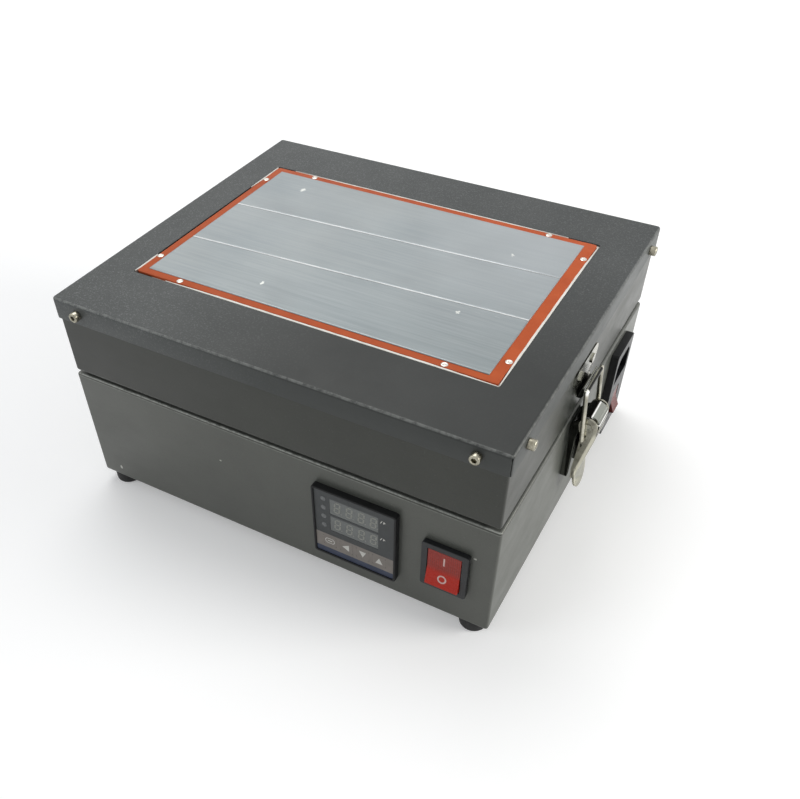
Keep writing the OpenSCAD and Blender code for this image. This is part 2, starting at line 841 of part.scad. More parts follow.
// Section of the hook: a half round trough and a straight lip with a round top
module hook_section() {
    r = hook_out / 2;
    x = lid_w / 2 + r;
    z = hook_low + r;
    difference() {
        translate([x, z]) circle(r);
        translate([x, z]) circle(r - strike_t);
        translate([x - r - 1, z]) square([2 * r + 2, r + 1]);
    }
    translate([x + r - strike_t, z - eps]) square([strike_t, hook_top - strike_t / 2 - z + eps]);
    translate([x + r - strike_t / 2, hook_top - strike_t / 2]) circle(strike_t / 2);
}

// Hook plate: a flat plate whose lower edge is rolled out and up
module strike_plate() {
    x0 = lid_w / 2;
    color("silver") place() difference() {
        union() {
            translate([x0, latch_y, 0]) to_right() linear_extrude(strike_t) strike_outline();
            across(2 * hook_half) hook_section();
        }
        for (s = [-1, 1])
            translate([x0 - 1, latch_y + s * strike_rivet_dy, strike_rivet_z]) to_right()
                cylinder(h = 4, r = 1.6);
    }
}

module strike_rivets() {
    x0 = lid_w / 2;
    color("silver") place() for (s = [-1, 1])
        translate([x0, latch_y + s * strike_rivet_dy, strike_rivet_z]) to_right() {
            translate([0, 0, -lid_t - 1]) cylinder(h = lid_t + 1 + strike_t + eps, r = 1.6);
            translate([0, 0, strike_t]) cylinder(h = 1, r = 2.8);
            translate([0, 0, -lid_t - 1]) cylinder(h = 1, r = 2.6);
        }
}

// ---------------------------------------------------------------- hinges

leaf_t = 1.5;
leaf_h = 24;
third = hinge_len / 3;

// One hinge knuckle with its bore, centred on y
module knuckle(y, long, bore) {
    translate([axis_x, y + long / 2, axis_z]) rotate([90, 0, 0]) difference() {
        cylinder(h = long, r = barrel_r);
        translate([0, 0, -1]) cylinder(h = long + 2, r = bore);
    }
}

// A leaf's tangent web, from the barrel to the wall at wall_x, centred on y
module web(y, long, wall_x, z) {
    difference() {
        translate([axis_x, y - long / 2, z]) cube([wall_x - axis_x, long, leaf_t]);
        translate([axis_x, y + long / 2 + 1, axis_z]) rotate([90, 0, 0])
            cylinder(h = long + 2, r = barrel_r - 0.5);
    }
}

module hinge_leaves_base() {
    web_z = axis_z - barrel_r;
    color("silver") place() for (s = [-1, 1]) {
        y = s * hinge_y;
        difference() {
            translate([-side_x - leaf_t, y - hinge_len / 2, web_z + leaf_t - leaf_h])
                cube([leaf_t, hinge_len, leaf_h]);
            translate([-side_x + 1, 0, 0])
                for (dy = [-hinge_hole_dy, hinge_hole_dy])
                    translate([0, y + dy, hinge_hole_z]) to_left() cylinder(h = 5, r = 1.5);
        }
        for (k = [-1, 1]) {
            knuckle(y + k * third, third - 0.3, 1.5);
            web(y + k * third, third - 0.3, -side_x, web_z);
        }
    }
}

module hinge_leaves_lid() {
    web_z = axis_z + barrel_r - leaf_t;
    wall_x = -lid_w / 2;
    color("silver") place() for (s = [-1, 1]) {
        y = s * hinge_y;
        difference() {
            translate([wall_x - leaf_t, y - hinge_len / 2, web_z]) cube([leaf_t, hinge_len, leaf_h]);
            translate([wall_x + 1, 0, 0])
                for (dy = [-hinge_hole_dy, hinge_hole_dy])
                    translate([0, y + dy, lid_hole_z]) to_left() cylinder(h = 5, r = 1.5);
        }
        knuckle(y, third - 0.3, 1.5 + fit);
        web(y, third - 0.3, wall_x, web_z);
    }
}

module hinge_pins() {
    color("silver") place() for (s = [-1, 1])
        translate([axis_x, s * hinge_y + hinge_len / 2, axis_z]) rotate([90, 0, 0])
            cylinder(h = hinge_len, r = 1.5);
}

lid_hole_z = 106;

module hinge_screws_base() {
    color("silver") place() translate([-side_x - leaf_t, 0, 0])
        at_hinge_screws(hinge_hole_z) pan_screw(2.8, 1.6, 1.5, leaf_t + base_t + 3);
}

module hinge_screws_lid() {
    color("silver") place() translate([-lid_w / 2 - leaf_t, 0, 0])
        at_hinge_screws(lid_hole_z) pan_screw(2.8, 1.6, 1.5, leaf_t + lid_t + 3);
}

// ---------------------------------------------------------------- lid

module at_liner_rivets() {
    for (sx = [-1, 1], y = [-80, 0, 80]) translate([sx * 134.2, y, lid_bottom]) children();
    for (sy = [-1, 1], x = [-80, 0, 80]) translate([x, sy * 114.2, lid_bottom]) children();
}

module upper_case() {
    h = board_top - lid_bottom;
    color("dimgray") place() difference() {
        translate([-lid_w / 2, -lid_d / 2, lid_bottom]) cube([lid_w, lid_d, h]);
        translate([-lid_w / 2 + lid_t, -lid_d / 2 + lid_t, lid_bottom + lid_t])
            cube([lid_w - 2 * lid_t, lid_d - 2 * lid_t, h - 2 * lid_t]);
        translate([-lid_w / 2 + lip_w, -lid_d / 2 + lip_w, lid_bottom - 1])
            cube([lid_w - 2 * lip_w, lid_d - 2 * lip_w, h + 2]);
        at_cap_screws() translate([0, 0, -4]) cylinder(h = 5, r = 1.6);
        at_liner_rivets() translate([0, 0, -1]) cylinder(h = 4, r = 1.2);
        for (s = [-1, 1])
            translate([lid_w / 2 - 3, latch_y + s * strike_rivet_dy, strike_rivet_z]) to_right()
                cylinder(h = 4, r = 1.6);
        translate([-lid_w / 2 + 3, 0, 0])
            at_hinge_screws(lid_hole_z) cylinder(h = 4, r = 1.5);
    }
}

module top_cap() {
    color("#5c5f62") place() difference() {
        translate([-cap_w / 2, -cap_d / 2, skirt_bottom]) cube([cap_w, cap_d, skirt_h]);
        translate([-cap_w / 2 + lid_t, -cap_d / 2 + lid_t, skirt_bottom - 1])
            cube([cap_w - 2 * lid_t, cap_d - 2 * lid_t, skirt_h + 1 - lid_t]);
        translate([window_x, window_y, cap_top - lid_t - 1]) linear_extrude(lid_t + 2)
            round_rect(window_w, window_d, 1.5);
        at_cap_screws() translate([0, 0, -3]) cylinder(h = 4, r = 1.6);
    }
}

module cap_screws() {
    color("silver") place() at_cap_screws()
        socket_screw(cap_head_r, cap_head_h, 1.6, 7, 1.5);
}

// Bright inner shell of the lid; its flange lies on the lid box's lower lip
module lid_liner() {
    z0 = lid_bottom + lid_t;
    color("gainsboro") place() difference() {
        union() {
            translate([0, 0, z0]) linear_extrude(liner_top - z0)
                round_rect(liner_w, liner_d, 4);
            translate([0, 0, z0]) linear_extrude(liner_t)
                round_rect(liner_w + 12.8, liner_d + 12.8, 2);
        }
        translate([0, 0, z0 - 1]) linear_extrude(liner_top - liner_t - z0 + 1)
            round_rect(liner_w - 2 * liner_t, liner_d - 2 * liner_t, 4 - liner_t);
        at_liner_rivets() cylinder(h = 4, r = 1.2);
        translate([probe_at.x, probe_at.y, liner_top - 2]) cylinder(h = 3, r = 3);
    }
}

module liner_rivets() {
    color("silver") place() at_liner_rivets() {
        cylinder(h = lid_t + liner_t + eps, r = 1.2);
        translate([0, 0, lid_t + liner_t]) cylinder(h = 0.8, r = 2.2);
    }
}

board_left = -104;
board_right = 122;
board_d = 192;

module insulation_board() {
    color("#e9e4d6") place() difference() {
        translate([board_left, window_y - board_d / 2, liner_top])
            cube([board_right - board_left, board_d, board_t]);
        translate([probe_at.x, probe_at.y, liner_top - 1]) cylinder(h = 8, r = 3);
        at_eyelets() translate([0, 0, -4]) cylinder(h = 5, r = 0.9);
    }
}

// The eight eyelets that hold the mat's border down
eyelet_in = 3.6;
eyelet_x = 84;
eyelet_y = 57;

module at_eyelets() {
    for (sx = [-1, 1], sy = [-1, 1]) {
        translate([window_x + sx * eyelet_x, window_y + sy * (window_d / 2 - eyelet_in), board_top])
            children();
        translate([window_x + sx * (window_w / 2 - eyelet_in), window_y + sy * eyelet_y, board_top])
            children();
    }
}

edge_w = 1.2;

module heater_mat() {
    color("#b5562b") place() difference() {
        translate([window_x, window_y, board_top]) linear_extrude(mat_t)
            round_rect(window_w - 2 * edge_w - 0.6, window_d - 2 * edge_w - 0.6, 1.5);
        at_eyelets() translate([0, 0, -1]) cylinder(h = mat_t + 2, r = 0.9);
    }
}

module ceramic_edge() {
    color("white") place() translate([window_x, window_y, board_top])
        ring(window_w - 0.4, window_d - 0.4, edge_w + 0.1, mat_t + 0.1, 1.2);
}

module mat_eyelets() {
    color("silver") place() at_eyelets() {
        translate([0, 0, -3]) cylinder(h = 3 + mat_t + eps, r = 0.9);
        translate([0, 0, mat_t]) cylinder(h = 0.4, r = 1.8);
    }
}

// Front to back places of the joints between plates at the middle of the field
joint_y = [-field_d / 2, -field_d / 6 + 0.3, field_d / 6 + 0.7, field_d / 2];

// One of three heat-spreading plates; inner edges follow the slanted joints
module spreader(i) {
    rise = [0, tan(plate_slant) * field_w / 2, tan(plate_slant) * field_w / 2, 0];
    gap = [0, plate_gap / 2, plate_gap / 2, 0];
    half = field_w / 2;
    place() translate([window_x - 0.6, window_y - 0.25, mat_top]) linear_extrude(plate_t) polygon([
        [-half, joint_y[i] - rise[i] + gap[i]], [half, joint_y[i] + rise[i] + gap[i]],
        [half, joint_y[i + 1] + rise[i + 1] - gap[i + 1]],
        [-half, joint_y[i + 1] - rise[i + 1] - gap[i + 1]]
    ]);
}

module plate_front() { color("#b9c2c9") spreader(0); }
module plate_middle() { color("#b9c2c9") spreader(1); }
module plate_rear() { color("#b9c2c9") spreader(2); }

probe_at = [60, -10];

// Threaded probe through the chamber's ceiling, tip down
module thermocouple() {
    color("silver") place() translate([probe_at.x, probe_at.y, liner_top]) {
        translate([0, 0, -liner_t - 1]) cylinder(h = liner_t + 7, r = 3);
        translate([0, 0, -liner_t - 3]) cylinder(h = 3, r = 5, $fn = 6);
        translate([0, 0, -liner_t - 14]) cylinder(h = 11 + eps, r = 2);
        translate([0, 0, -liner_t - 14]) sphere(2);
    }
}

cutout_at = [-117, 20];

module thermal_cutout() {
    color("#2f2a26") place() translate([cutout_at.x, cutout_at.y, liner_top]) {
        cylinder(h = 1.5, r = 8);
        translate([0, 0, 1.5 - eps]) cylinder(h = 7, r = 6.4);
        for (s = [-1, 1])
            translate([-0.4, s * 4 - 1.6, 8.5 - eps]) cube([0.8, 3.2, 2.4]);
    }
}

// From the mat's edge to the cut-out's tabs
module heater_leads() {
    color("whitesmoke") place() for (s = [-1, 1])
        wire([
            [board_left, cutout_at.y + s * 14, liner_top + 6],
            [board_left - 6, cutout_at.y + s * 14, liner_top + 6],
            [cutout_at.x, cutout_at.y + s * 10, liner_top + 7],
            [cutout_at.x, cutout_at.y + s * 8.2, liner_top + 9.7],
            [cutout_at.x, cutout_at.y + s * 5.6, liner_top + 9.7]
        ], 0.9);
}

module lid_seal() {
    color("#26221f") place() translate([0, 0, base_top + tray_t + seal_gap])
        ring(lid_w - 6, lid_d - 6, seal_w, seam - tray_t - seal_gap, 3);
}

// ---------------------------------------------------------------- assembly

lower_case();
feet();
foot_screws();
foot_nuts();
deck_frame();
chamber_pan();
tray_screws();
tray_pad();
controller_bezel();
controller_housing();
controller_clamp();
controller_face();
display_windows();
indicator_lamps();
key_set();
key_left();
key_down();
key_up();
switch_housing();
switch_rocker();
inlet_housing();
inlet_pins();
inlet_rocker();
relay();
relay_heatsink();
terminal_block();
earth_stud();
mains_leads();
control_leads();
latch_base();
latch_rivets();
latch_pin();
latch_lever();
latch_bail();
hinge_leaves_base();
hinge_pins();
hinge_screws_base();
upper_case();
top_cap();
cap_screws();
lid_liner();
liner_rivets();
insulation_board();
heater_mat();
plate_front();
plate_middle();
plate_rear();
ceramic_edge();
mat_eyelets();
thermocouple();
thermal_cutout();
heater_leads();
lid_seal();
strike_plate();
strike_rivets();
hinge_leaves_lid();
hinge_screws_lid();
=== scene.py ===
"""Looks of a bench-top reflow oven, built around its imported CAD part."""

import json
import random
from math import cos, hypot, pi, radians, sin, tan

import bmesh
import bpy
from mathutils import Matrix, Vector

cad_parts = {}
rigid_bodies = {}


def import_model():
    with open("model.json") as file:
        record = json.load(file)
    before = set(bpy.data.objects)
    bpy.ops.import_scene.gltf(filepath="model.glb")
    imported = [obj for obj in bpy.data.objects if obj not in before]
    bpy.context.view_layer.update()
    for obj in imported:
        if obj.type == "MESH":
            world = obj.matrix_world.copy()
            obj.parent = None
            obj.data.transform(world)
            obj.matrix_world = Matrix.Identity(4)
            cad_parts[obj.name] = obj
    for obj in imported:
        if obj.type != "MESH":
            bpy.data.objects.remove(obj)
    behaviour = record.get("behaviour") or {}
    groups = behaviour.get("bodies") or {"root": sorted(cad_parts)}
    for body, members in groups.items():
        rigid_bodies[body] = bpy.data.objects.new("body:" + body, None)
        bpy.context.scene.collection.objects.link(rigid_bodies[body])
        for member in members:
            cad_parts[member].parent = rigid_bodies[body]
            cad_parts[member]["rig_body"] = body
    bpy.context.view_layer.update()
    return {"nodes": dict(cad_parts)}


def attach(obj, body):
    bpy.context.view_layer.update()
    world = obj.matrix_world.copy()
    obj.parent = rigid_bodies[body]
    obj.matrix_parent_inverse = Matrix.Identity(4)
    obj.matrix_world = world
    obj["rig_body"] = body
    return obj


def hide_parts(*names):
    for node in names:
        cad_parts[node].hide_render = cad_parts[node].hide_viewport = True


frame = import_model()
NODES = frame["nodes"]
MM = 0.001
rng = random.Random(41)
SHARP, SHARP_SOFT, SOFT_FROM = 35, 40, 28  # degrees

# Case dimensions in millimetres, in coordinates that are centred on the case
MID = Vector((3.8, -0.399831, 0.0))
CAP_W, CAP_D = 280.0, 240.0
CAP_TOP, SKIRT_BOTTOM, PLATE_TOP, MAT_TOP = 142.0, 128.5, 143.0, 142.3
BOARD_TOP, LID_BOTTOM, BASE_TOP, FOOT_H = 140.8, 91.0, 88.5, 8.0
LID_W, LID_D, BASE_W, BASE_D = 277.6, 237.6, 279.4, 237.6
SIDE_X, FRONT_Y = BASE_W / 2, -BASE_D / 2
WINDOW = (231.0, 156.0, -1.15, 1.85)
FIELD = (216.0, 143.0, -1.75, 1.6)
SWITCH_X, SWITCH_Z, INLET_Y, INLET_Z = 111.7, 48.0, 75.5, 51.0
CTRL_X, CTRL_Z, CTRL_SIZE, CTRL_FIELD = 56.3, 48.5, 53.4, 50.6
ROCK_TILT, ROCK_VALLEY = 6.0, 3.3
LATCH_Y, PIN_X, PIN_Z, LEVER_W, BAR_X, BAR_Z = -8.5, 150.0, 87.5, 21.0, 145.5, 112.2
# Half width and half height of the holes in the base box
CTRL_HOLE, SWITCH_HOLE, INLET_HOLE = (22.5, 22.5), (11.4, 14.6), (13.6, 28.6)
# Places of the cap's screws from its middle, of the feet from the box's sides, of the eyelets
SCREW_X, SCREW_Y, FOOT_IN_X, FOOT_IN_Y = 122.5, 100.5, 11.6, 9.0
EYELET_X, EYELET_Y, EYELET_IN = 84, 57, 3.6
# Outer edge of the lever's cheeks as (x, z): its lower and its upper end
CHEEK_FOOT, CHEEK_HEAD = (149.0, 48), (155.9, 82)
SIDES = (-1, 1)
CORNERS = [(sx, sy) for sx in SIDES for sy in SIDES]


# ---------- mesh helpers

def rounded(w, d, r, z, cx=0.0, cy=0.0, k=5):
    """Loop of a w by d rectangle with corner radius r."""
    points = []
    for sx, sy, start in ((1, -1, -90), (1, 1, 0), (-1, 1, 90), (-1, -1, 180)):
        for i in range(k + 1):
            a = radians(start + 90 * i / k)
            points.append((cx + sx * (w / 2 - r) + r * cos(a),
                           cy + sy * (d / 2 - r) + r * sin(a), z))
    return points


def circle(r, z, n=32, cx=0.0, cy=0.0):
    return [
        (cx + r * cos(2 * pi * i / n), cy + r * sin(2 * pi * i / n), z)
        for i in range(n)
    ]


def polygon_loop(sides, r, z, n):
    """Loop of n points along a regular polygon with corner radius r from its middle."""
    points = []
    for i in range(n):
        a = 2 * pi * i / n
        wedge = 2 * pi / sides
        off = (a % wedge) - wedge / 2
        reach = r * cos(wedge / 2) / cos(off)
        points.append((reach * cos(a), reach * sin(a), z))
    return points


def loft(loops, ring=False):
    """Joins equal loops into a closed skin. Returns vertices and faces."""
    n = len(loops[0])
    verts = [p for loop in loops for p in loop]
    faces = []
    count = len(loops)
    for j in range(count if ring else count - 1):
        a, b = j * n, ((j + 1) % count) * n
        for i in range(n):
            i2 = (i + 1) % n
            faces.append((a + i, a + i2, b + i2, b + i))
    if not ring:
        faces.append(tuple(reversed(range(n))))
        faces.append(tuple(range((count - 1) * n, count * n)))
    return verts, faces


def joined(*shapes):
    """Several (vertices, faces) as one."""
    verts, faces = [], []
    for v, f in shapes:
        base = len(verts)
        verts += list(v)
        faces += [tuple(base + i for i in face) for face in f]
    return verts, faces


def moved(shape, at=(0, 0, 0), turn=0.0):
    """A shape turned about Z, in degrees, and moved."""
    c, s = cos(radians(turn)), sin(radians(turn))
    verts = [
        (at[0] + x * c - y * s, at[1] + x * s + y * c, at[2] + z)
        for x, y, z in shape[0]
    ]
    return verts, shape[1]


def prism(outline, z0, z1):
    """Flat plate with the given outline."""
    return loft([[(x, y, z0) for x, y in outline], [(x, y, z1) for x, y in outline]])


FACINGS = {
    "up": Matrix(((1, 0, 0), (0, 1, 0), (0, 0, 1))),
    "down": Matrix(((1, 0, 0), (0, -1, 0), (0, 0, -1))),
    "front": Matrix(((1, 0, 0), (0, 0, -1), (0, 1, 0))),
    "back": Matrix(((-1, 0, 0), (0, 0, 1), (0, 1, 0))),
    "right": Matrix(((0, 0, 1), (1, 0, 0), (0, 1, 0))),
    "left": Matrix(((0, 0, -1), (-1, 0, 0), (0, 1, 0))),
}


def placed(name, data):
    obj = bpy.data.objects.new(name, data)
    bpy.context.scene.collection.objects.link(obj)
    return obj


def skin(name, points, faces, weld=True):
    """Closed mesh from points in metres, with its faces turned outwards."""
    mesh = bpy.data.meshes.new(name)
    mesh.from_pydata(points, [], faces)
    bm = bmesh.new()
    bm.from_mesh(mesh)
    if weld:
        bmesh.ops.remove_doubles(bm, verts=bm.verts, dist=1e-7)
    bmesh.ops.recalc_face_normals(bm, faces=bm.faces)
    bm.to_mesh(mesh)
    bm.free()
    return mesh


def piece(name, shape, body, mat, slot=None, at=(0, 0, 0), facing="up", node=None):
    """A visible piece from a shape in millimetres, drawn facing +Z and then placed.

    It replaces the CAD node, where one is given. Its slot argument is not used.
    """
    turn = FACINGS[facing]
    origin = Vector(at) - MID
    mesh = skin(name, [(turn @ Vector(v) + origin) * MM for v in shape[0]], shape[1])
    return dressed(name, mesh, body, mat, SHARP, node)


def instead(node, *facts, **more):
    """A visible piece in place of a CAD node."""
    return piece(node + "_skin", *facts, node=node, **more)


def dressed(name, mesh, body, mat, sharp, node):
    """Object for a mesh, with edges above the sharp angle, in degrees, left hard."""
    obj = placed(name, mesh)
    mesh.materials.clear()
    mesh.materials.append(looks[mat])
    mesh.shade_smooth()
    mesh.set_sharp_from_angle(angle=radians(sharp))
    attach(obj, body)
    if node:
        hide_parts(node)
    return obj


def settled(obj):
    """Applies the object's modifiers to its mesh."""
    graph = bpy.context.evaluated_depsgraph_get()
    mesh = bpy.data.meshes.new_from_object(
        obj.evaluated_get(graph), preserve_all_data_layers=True, depsgraph=graph)
    old = obj.data
    obj.modifiers.clear()
    obj.data = mesh
    bpy.data.meshes.remove(old)
    return obj


def cut(obj, shapes):
    """Cuts closed shapes, in millimetres, out of an object."""
    verts, faces = joined(*shapes)
    tool = placed("cutter", skin("cutter", [(Vector(v) - MID) * MM for v in verts], faces, False))
    mod = obj.modifiers.new("cut", "BOOLEAN")
    mod.operation, mod.solver, mod.object = "DIFFERENCE", "EXACT", tool
    settled(obj)
    bpy.data.objects.remove(tool)
    obj.data.set_sharp_from_angle(angle=radians(SHARP))
    return obj


def block(x0, x1, y0, y1, z0, z1):
    return prism([(x0, y0), (x1, y0), (x1, y1), (x0, y1)], z0, z1)


def soften(node, width, mat, steps=2, bend=None):
    """Replaces a CAD node by a copy whose edges are rounded to the given width.

    With bend, a radius and a test for edges, those edges are rounded to that radius first.
    """
    source = NODES[node]
    mesh = source.data.copy()
    mesh.name = node + "_skin"
    bm = bmesh.new()
    bm.from_mesh(mesh)
    bmesh.ops.remove_doubles(bm, verts=bm.verts, dist=2e-6)
    bmesh.ops.dissolve_limit(bm, angle_limit=radians(0.7), verts=bm.verts, edges=bm.edges)
    if bend:
        radius, test = bend
        wide = [e for e in bm.edges if len(e.link_faces) == 2 and test(e)]
        bmesh.ops.bevel(bm, geom=wide, offset=radius * MM, offset_type="OFFSET", segments=6,
                        profile=0.5, affect="EDGES", clamp_overlap=False)
    edges = [
        e for e in bm.edges
        if len(e.link_faces) == 2 and e.calc_face_angle(0.0) > radians(SOFT_FROM)
    ]
    bmesh.ops.bevel(
        bm, geom=edges, offset=width * MM, offset_type="OFFSET", segments=steps,
        profile=0.5, affect="EDGES", clamp_overlap=True)
    bm.to_mesh(mesh)
    bm.free()
    obj = dressed(node + "_skin", mesh, source["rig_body"], mat, SHARP_SOFT, node)
    obj.modifiers.new("weights", "WEIGHTED_NORMAL").keep_sharp = True
    return settled(obj)


# ---------- materials

def in_x(mm):
    """Position along X of the frame, in metres, of one that is given in case coordinates."""
    return (mm - MID.x) * MM


def in_y(mm):
    return (mm - MID.y) * MM


def rgb(r, g, b):
    """Linear colour of an sRGB colour given from 0 to 255."""
    out = []
    for v in (r, g, b):
        v /= 255
        out.append(v / 12.92 if v <= 0.04045 else ((v + 0.055) / 1.055) ** 2.4)
    return (*out, 1.0)


# Where a comment below says painted, the base colour imitates a tone, shade or reflection that
# the photograph shows. It is fixed to the object and doesn't come from the shader or the lights.
looks = {}


def put(node, values):
    """Gives a node's inputs plain values, by their names."""
    for key, value in values.items():
        node.inputs[key].default_value = value


class Finish:
    """Builds one node material around a Principled shader, kept in looks by its name."""

    def __init__(self, name, metallic=0.0, specular=0.5, tint=1.0):
        looks[name] = self.mat = bpy.data.materials.new(name)
        self.mat.use_nodes = True
        self.tree = self.mat.node_tree
        self.bsdf = self.tree.nodes["Principled BSDF"]
        put(self.bsdf, {"Metallic": metallic, "Specular IOR Level": specular,
                        "Specular Tint": (1.0, 1.0, tint, 1.0)})
        self.place = self.node("ShaderNodeTexCoord").outputs["Object"]

    def node(self, kind, **values):
        n = self.tree.nodes.new(kind)
        for key, value in values.items():
            setattr(n, key, value)
        return n

    def link(self, a, b):
        self.tree.links.new(a, b)

    def stretched(self, x, y, z, turn=(0, 0, 0)):
        m = self.node("ShaderNodeMapping")
        put(m, {"Scale": (x, y, z), "Rotation": [radians(a) for a in turn]})
        self.link(self.place, m.inputs["Vector"])
        return m.outputs["Vector"]

    def noise(self, size, detail=3.0, rough=0.55, where=None):
        """Noise whose features are about size millimetres."""
        n = self.node("ShaderNodeTexNoise")
        put(n, {"Scale": 1000.0 / size, "Detail": detail, "Roughness": rough})
        self.link(where or self.place, n.inputs["Vector"])
        return n.outputs["Fac"]

    def ramp(self, value, *stops):
        r = self.node("ShaderNodeValToRGB")
        ramp = r.color_ramp
        while len(ramp.elements) < len(stops):
            ramp.elements.new(0.5)
        for element, (at, colour) in zip(ramp.elements, stops):
            element.position = at
            element.color = colour if isinstance(colour, tuple) else (colour,) * 3 + (1,)
        self.link(value, r.inputs["Fac"])
        return r.outputs["Color"]

    def span(self, value, a, b, c=0.0, d=1.0):
        """Maps a..b to c..d."""
        m = self.node("ShaderNodeMapRange")
        put(m, {"From Min": a, "From Max": b, "To Min": c, "To Max": d})
        self.link(value, m.inputs["Value"])
        return m.outputs["Result"]

    def feed(self, socket, value):
        """Gives a socket a number or colour, or the output of another node."""
        if isinstance(value, (float, int, tuple)):
            socket.default_value = value
        else:
            self.link(value, socket)

    def mix(self, share, a, b):
        m = self.node("ShaderNodeMix", data_type="RGBA")
        for value, socket in ((share, m.inputs[0]), (a, m.inputs[6]), (b, m.inputs[7])):
            self.feed(socket, value)
        return m.outputs[2]

    def maths(self, how, a, b=None, clamp=False):
        m = self.node("ShaderNodeMath", operation=how, use_clamp=clamp)
        for value, socket in ((a, m.inputs[0]), (b, m.inputs[1])):
            if value is not None:
                self.feed(socket, value)
        return m.outputs[0]

    def times(self, *shares):
        out = shares[0]
        for share in shares[1:]:
            out = self.maths("MULTIPLY", out, share)
        return out

    def minus(self, a, b):
        return self.maths("SUBTRACT", a, b)

    def under(self, value, limit):
        """1 where the value is below the limit, with a hard edge."""
        return self.maths("LESS_THAN", value, limit)

    def reach(self, a, b):
        """Length of the vector (a, b)."""
        return self.maths("SQRT", self.maths("ADD", self.times(a, a), self.times(b, b)))

    def ragged(self, a, b, grain, uneven):
        """Distance from a spot's middle, made uneven by some millimetres."""
        return self.maths("ADD", self.reach(a, b),
                          self.span(self.noise(grain, 3), 0.3, 0.7, -uneven * MM, uneven * MM))

    def base(self):
        return self.bsdf.inputs["Base Color"].links[0].from_socket

    def over(self, value, edge, soft=0.05 * MM):
        """1 where the value lies above the edge, 0 below, in metres."""
        return self.span(value, edge - soft, edge + soft)

    def within(self, value, low, high, soft=0.05 * MM):
        """1 where the value lies between low and high."""
        return self.times(self.over(value, low, soft),
                          self.minus(1.0, self.over(value, high, soft)))

    def axes(self):
        s = self.node("ShaderNodeSeparateXYZ")
        self.link(self.place, s.inputs[0])
        return s.outputs[0], s.outputs[1], s.outputs[2]

    def colour(self, value):
        self.link(value, self.bsdf.inputs["Base Color"])

    def paint(self, share, colour):
        """Covers the colour so far with another, where the share is 1."""
        self.colour(self.mix(share, self.base(), colour))

    def rough(self, value):
        self.link(value, self.bsdf.inputs["Roughness"])

    def bump(self, value, height):
        """Bump of the given height in millimetres."""
        b = self.node("ShaderNodeBump")
        put(b, {"Strength": 1.0, "Distance": height * MM})
        self.link(value, b.inputs["Height"])
        self.link(b.outputs["Normal"], self.bsdf.inputs["Normal"])


def finish(name, dark, light, rough, patch, grain, height, where=None, **facts):
    """Two close colours in soft patches, roughness that varies, and a fine grain."""
    f = Finish(name, **facts)
    spot = f.stretched(*where) if where else None
    broad = f.noise(patch, 4, where=spot)
    fine = f.noise(grain, 2, where=spot)
    f.colour(f.ramp(broad, (0.32, rgb(*dark)), (0.68, rgb(*light))))
    f.rough(f.span(f.noise(patch * 0.35, 3, where=spot), 0.3, 0.7, *rough))
    f.bump(fine, height)


def sheet_paint(name, dark, light, rough, speck, speck_share, specular=0.5, fleck=0.9):
    """Baked paint on sheet steel: cloudy patches, fine light specks, orange peel."""
    f = Finish(name, specular=specular, tint=0.93)
    cloud = f.noise(60, 5, 0.6)
    base = f.ramp(cloud, (0.3, dark), (0.7, light))
    dust = f.noise(fleck, 2, 0.7)
    flecks = f.ramp(dust, (speck_share, 0.0), (speck_share + 0.07, 1.0))
    base = f.mix(f.times(flecks, 0.5), base, speck)
    pits = f.ramp(f.noise(1.1, 2, 0.6, f.stretched(1.1, 1, 0.9)), (0.30, 1.0), (0.42, 0.0))
    base = f.mix(f.times(pits, 0.25), base, tuple(0.55 * c for c in dark[:3]) + (1.0,))
    f.colour(base)
    smear = f.noise(35, 4, 0.6, f.stretched(1, 1, 2.2))
    f.rough(f.span(smear, 0.3, 0.7, *rough))
    f.bump(f.noise(1.6, 3, 0.6), 0.02)
    return f


def worn_and_highlit(f, share, colour):
    """Lets a lighter colour show in broken patches where the share is 1: worn paint and painted
    highlight along edges.
    """
    patches = f.ramp(f.noise(3.2, 5, 0.7), (0.36, 0.25), (0.6, 1.0))
    f.paint(f.times(share, patches), colour)


def cap_finish():
    """Paint of the cap: painted shade towards the front right, and painted light on the skirt.

    Along the front and right bends its edge has worn paint and painted highlight, in broken patches.
    """
    f = sheet_paint("cap_paint", rgb(60, 63, 64), rgb(67, 70, 71), (0.42, 0.54),
                    rgb(122, 125, 125), 0.56, specular=0.35, fleck=0.8)
    x, y, z = f.axes()
    # painted shade: darker towards the front right
    near = f.times(f.span(x, -0.09, 0.02), f.span(y, 0.06, -0.06, 0.25, 1.0))
    f.paint(f.times(near, 0.95), rgb(30, 33, 34))
    # painted light: the skirt lighter than the top
    skirt = f.span(z, 141.2 * MM, 139.6 * MM)
    f.paint(f.times(skirt, 0.35), rgb(84, 87, 86))
    # worn paint and painted highlight along the front and right bends
    front = f.span(y, in_y(-CAP_D / 2 + 1.3), in_y(-CAP_D / 2 + 0.9))
    side = f.span(x, in_x(CAP_W / 2 - 1.2), in_x(CAP_W / 2 - 0.8), 0.0, 0.5)
    rim = f.times(f.maths("MAXIMUM", front, side), f.over(z, 141.0 * MM, 0.3 * MM))
    worn_and_highlit(f, f.times(rim, 0.5), rgb(156, 158, 155))


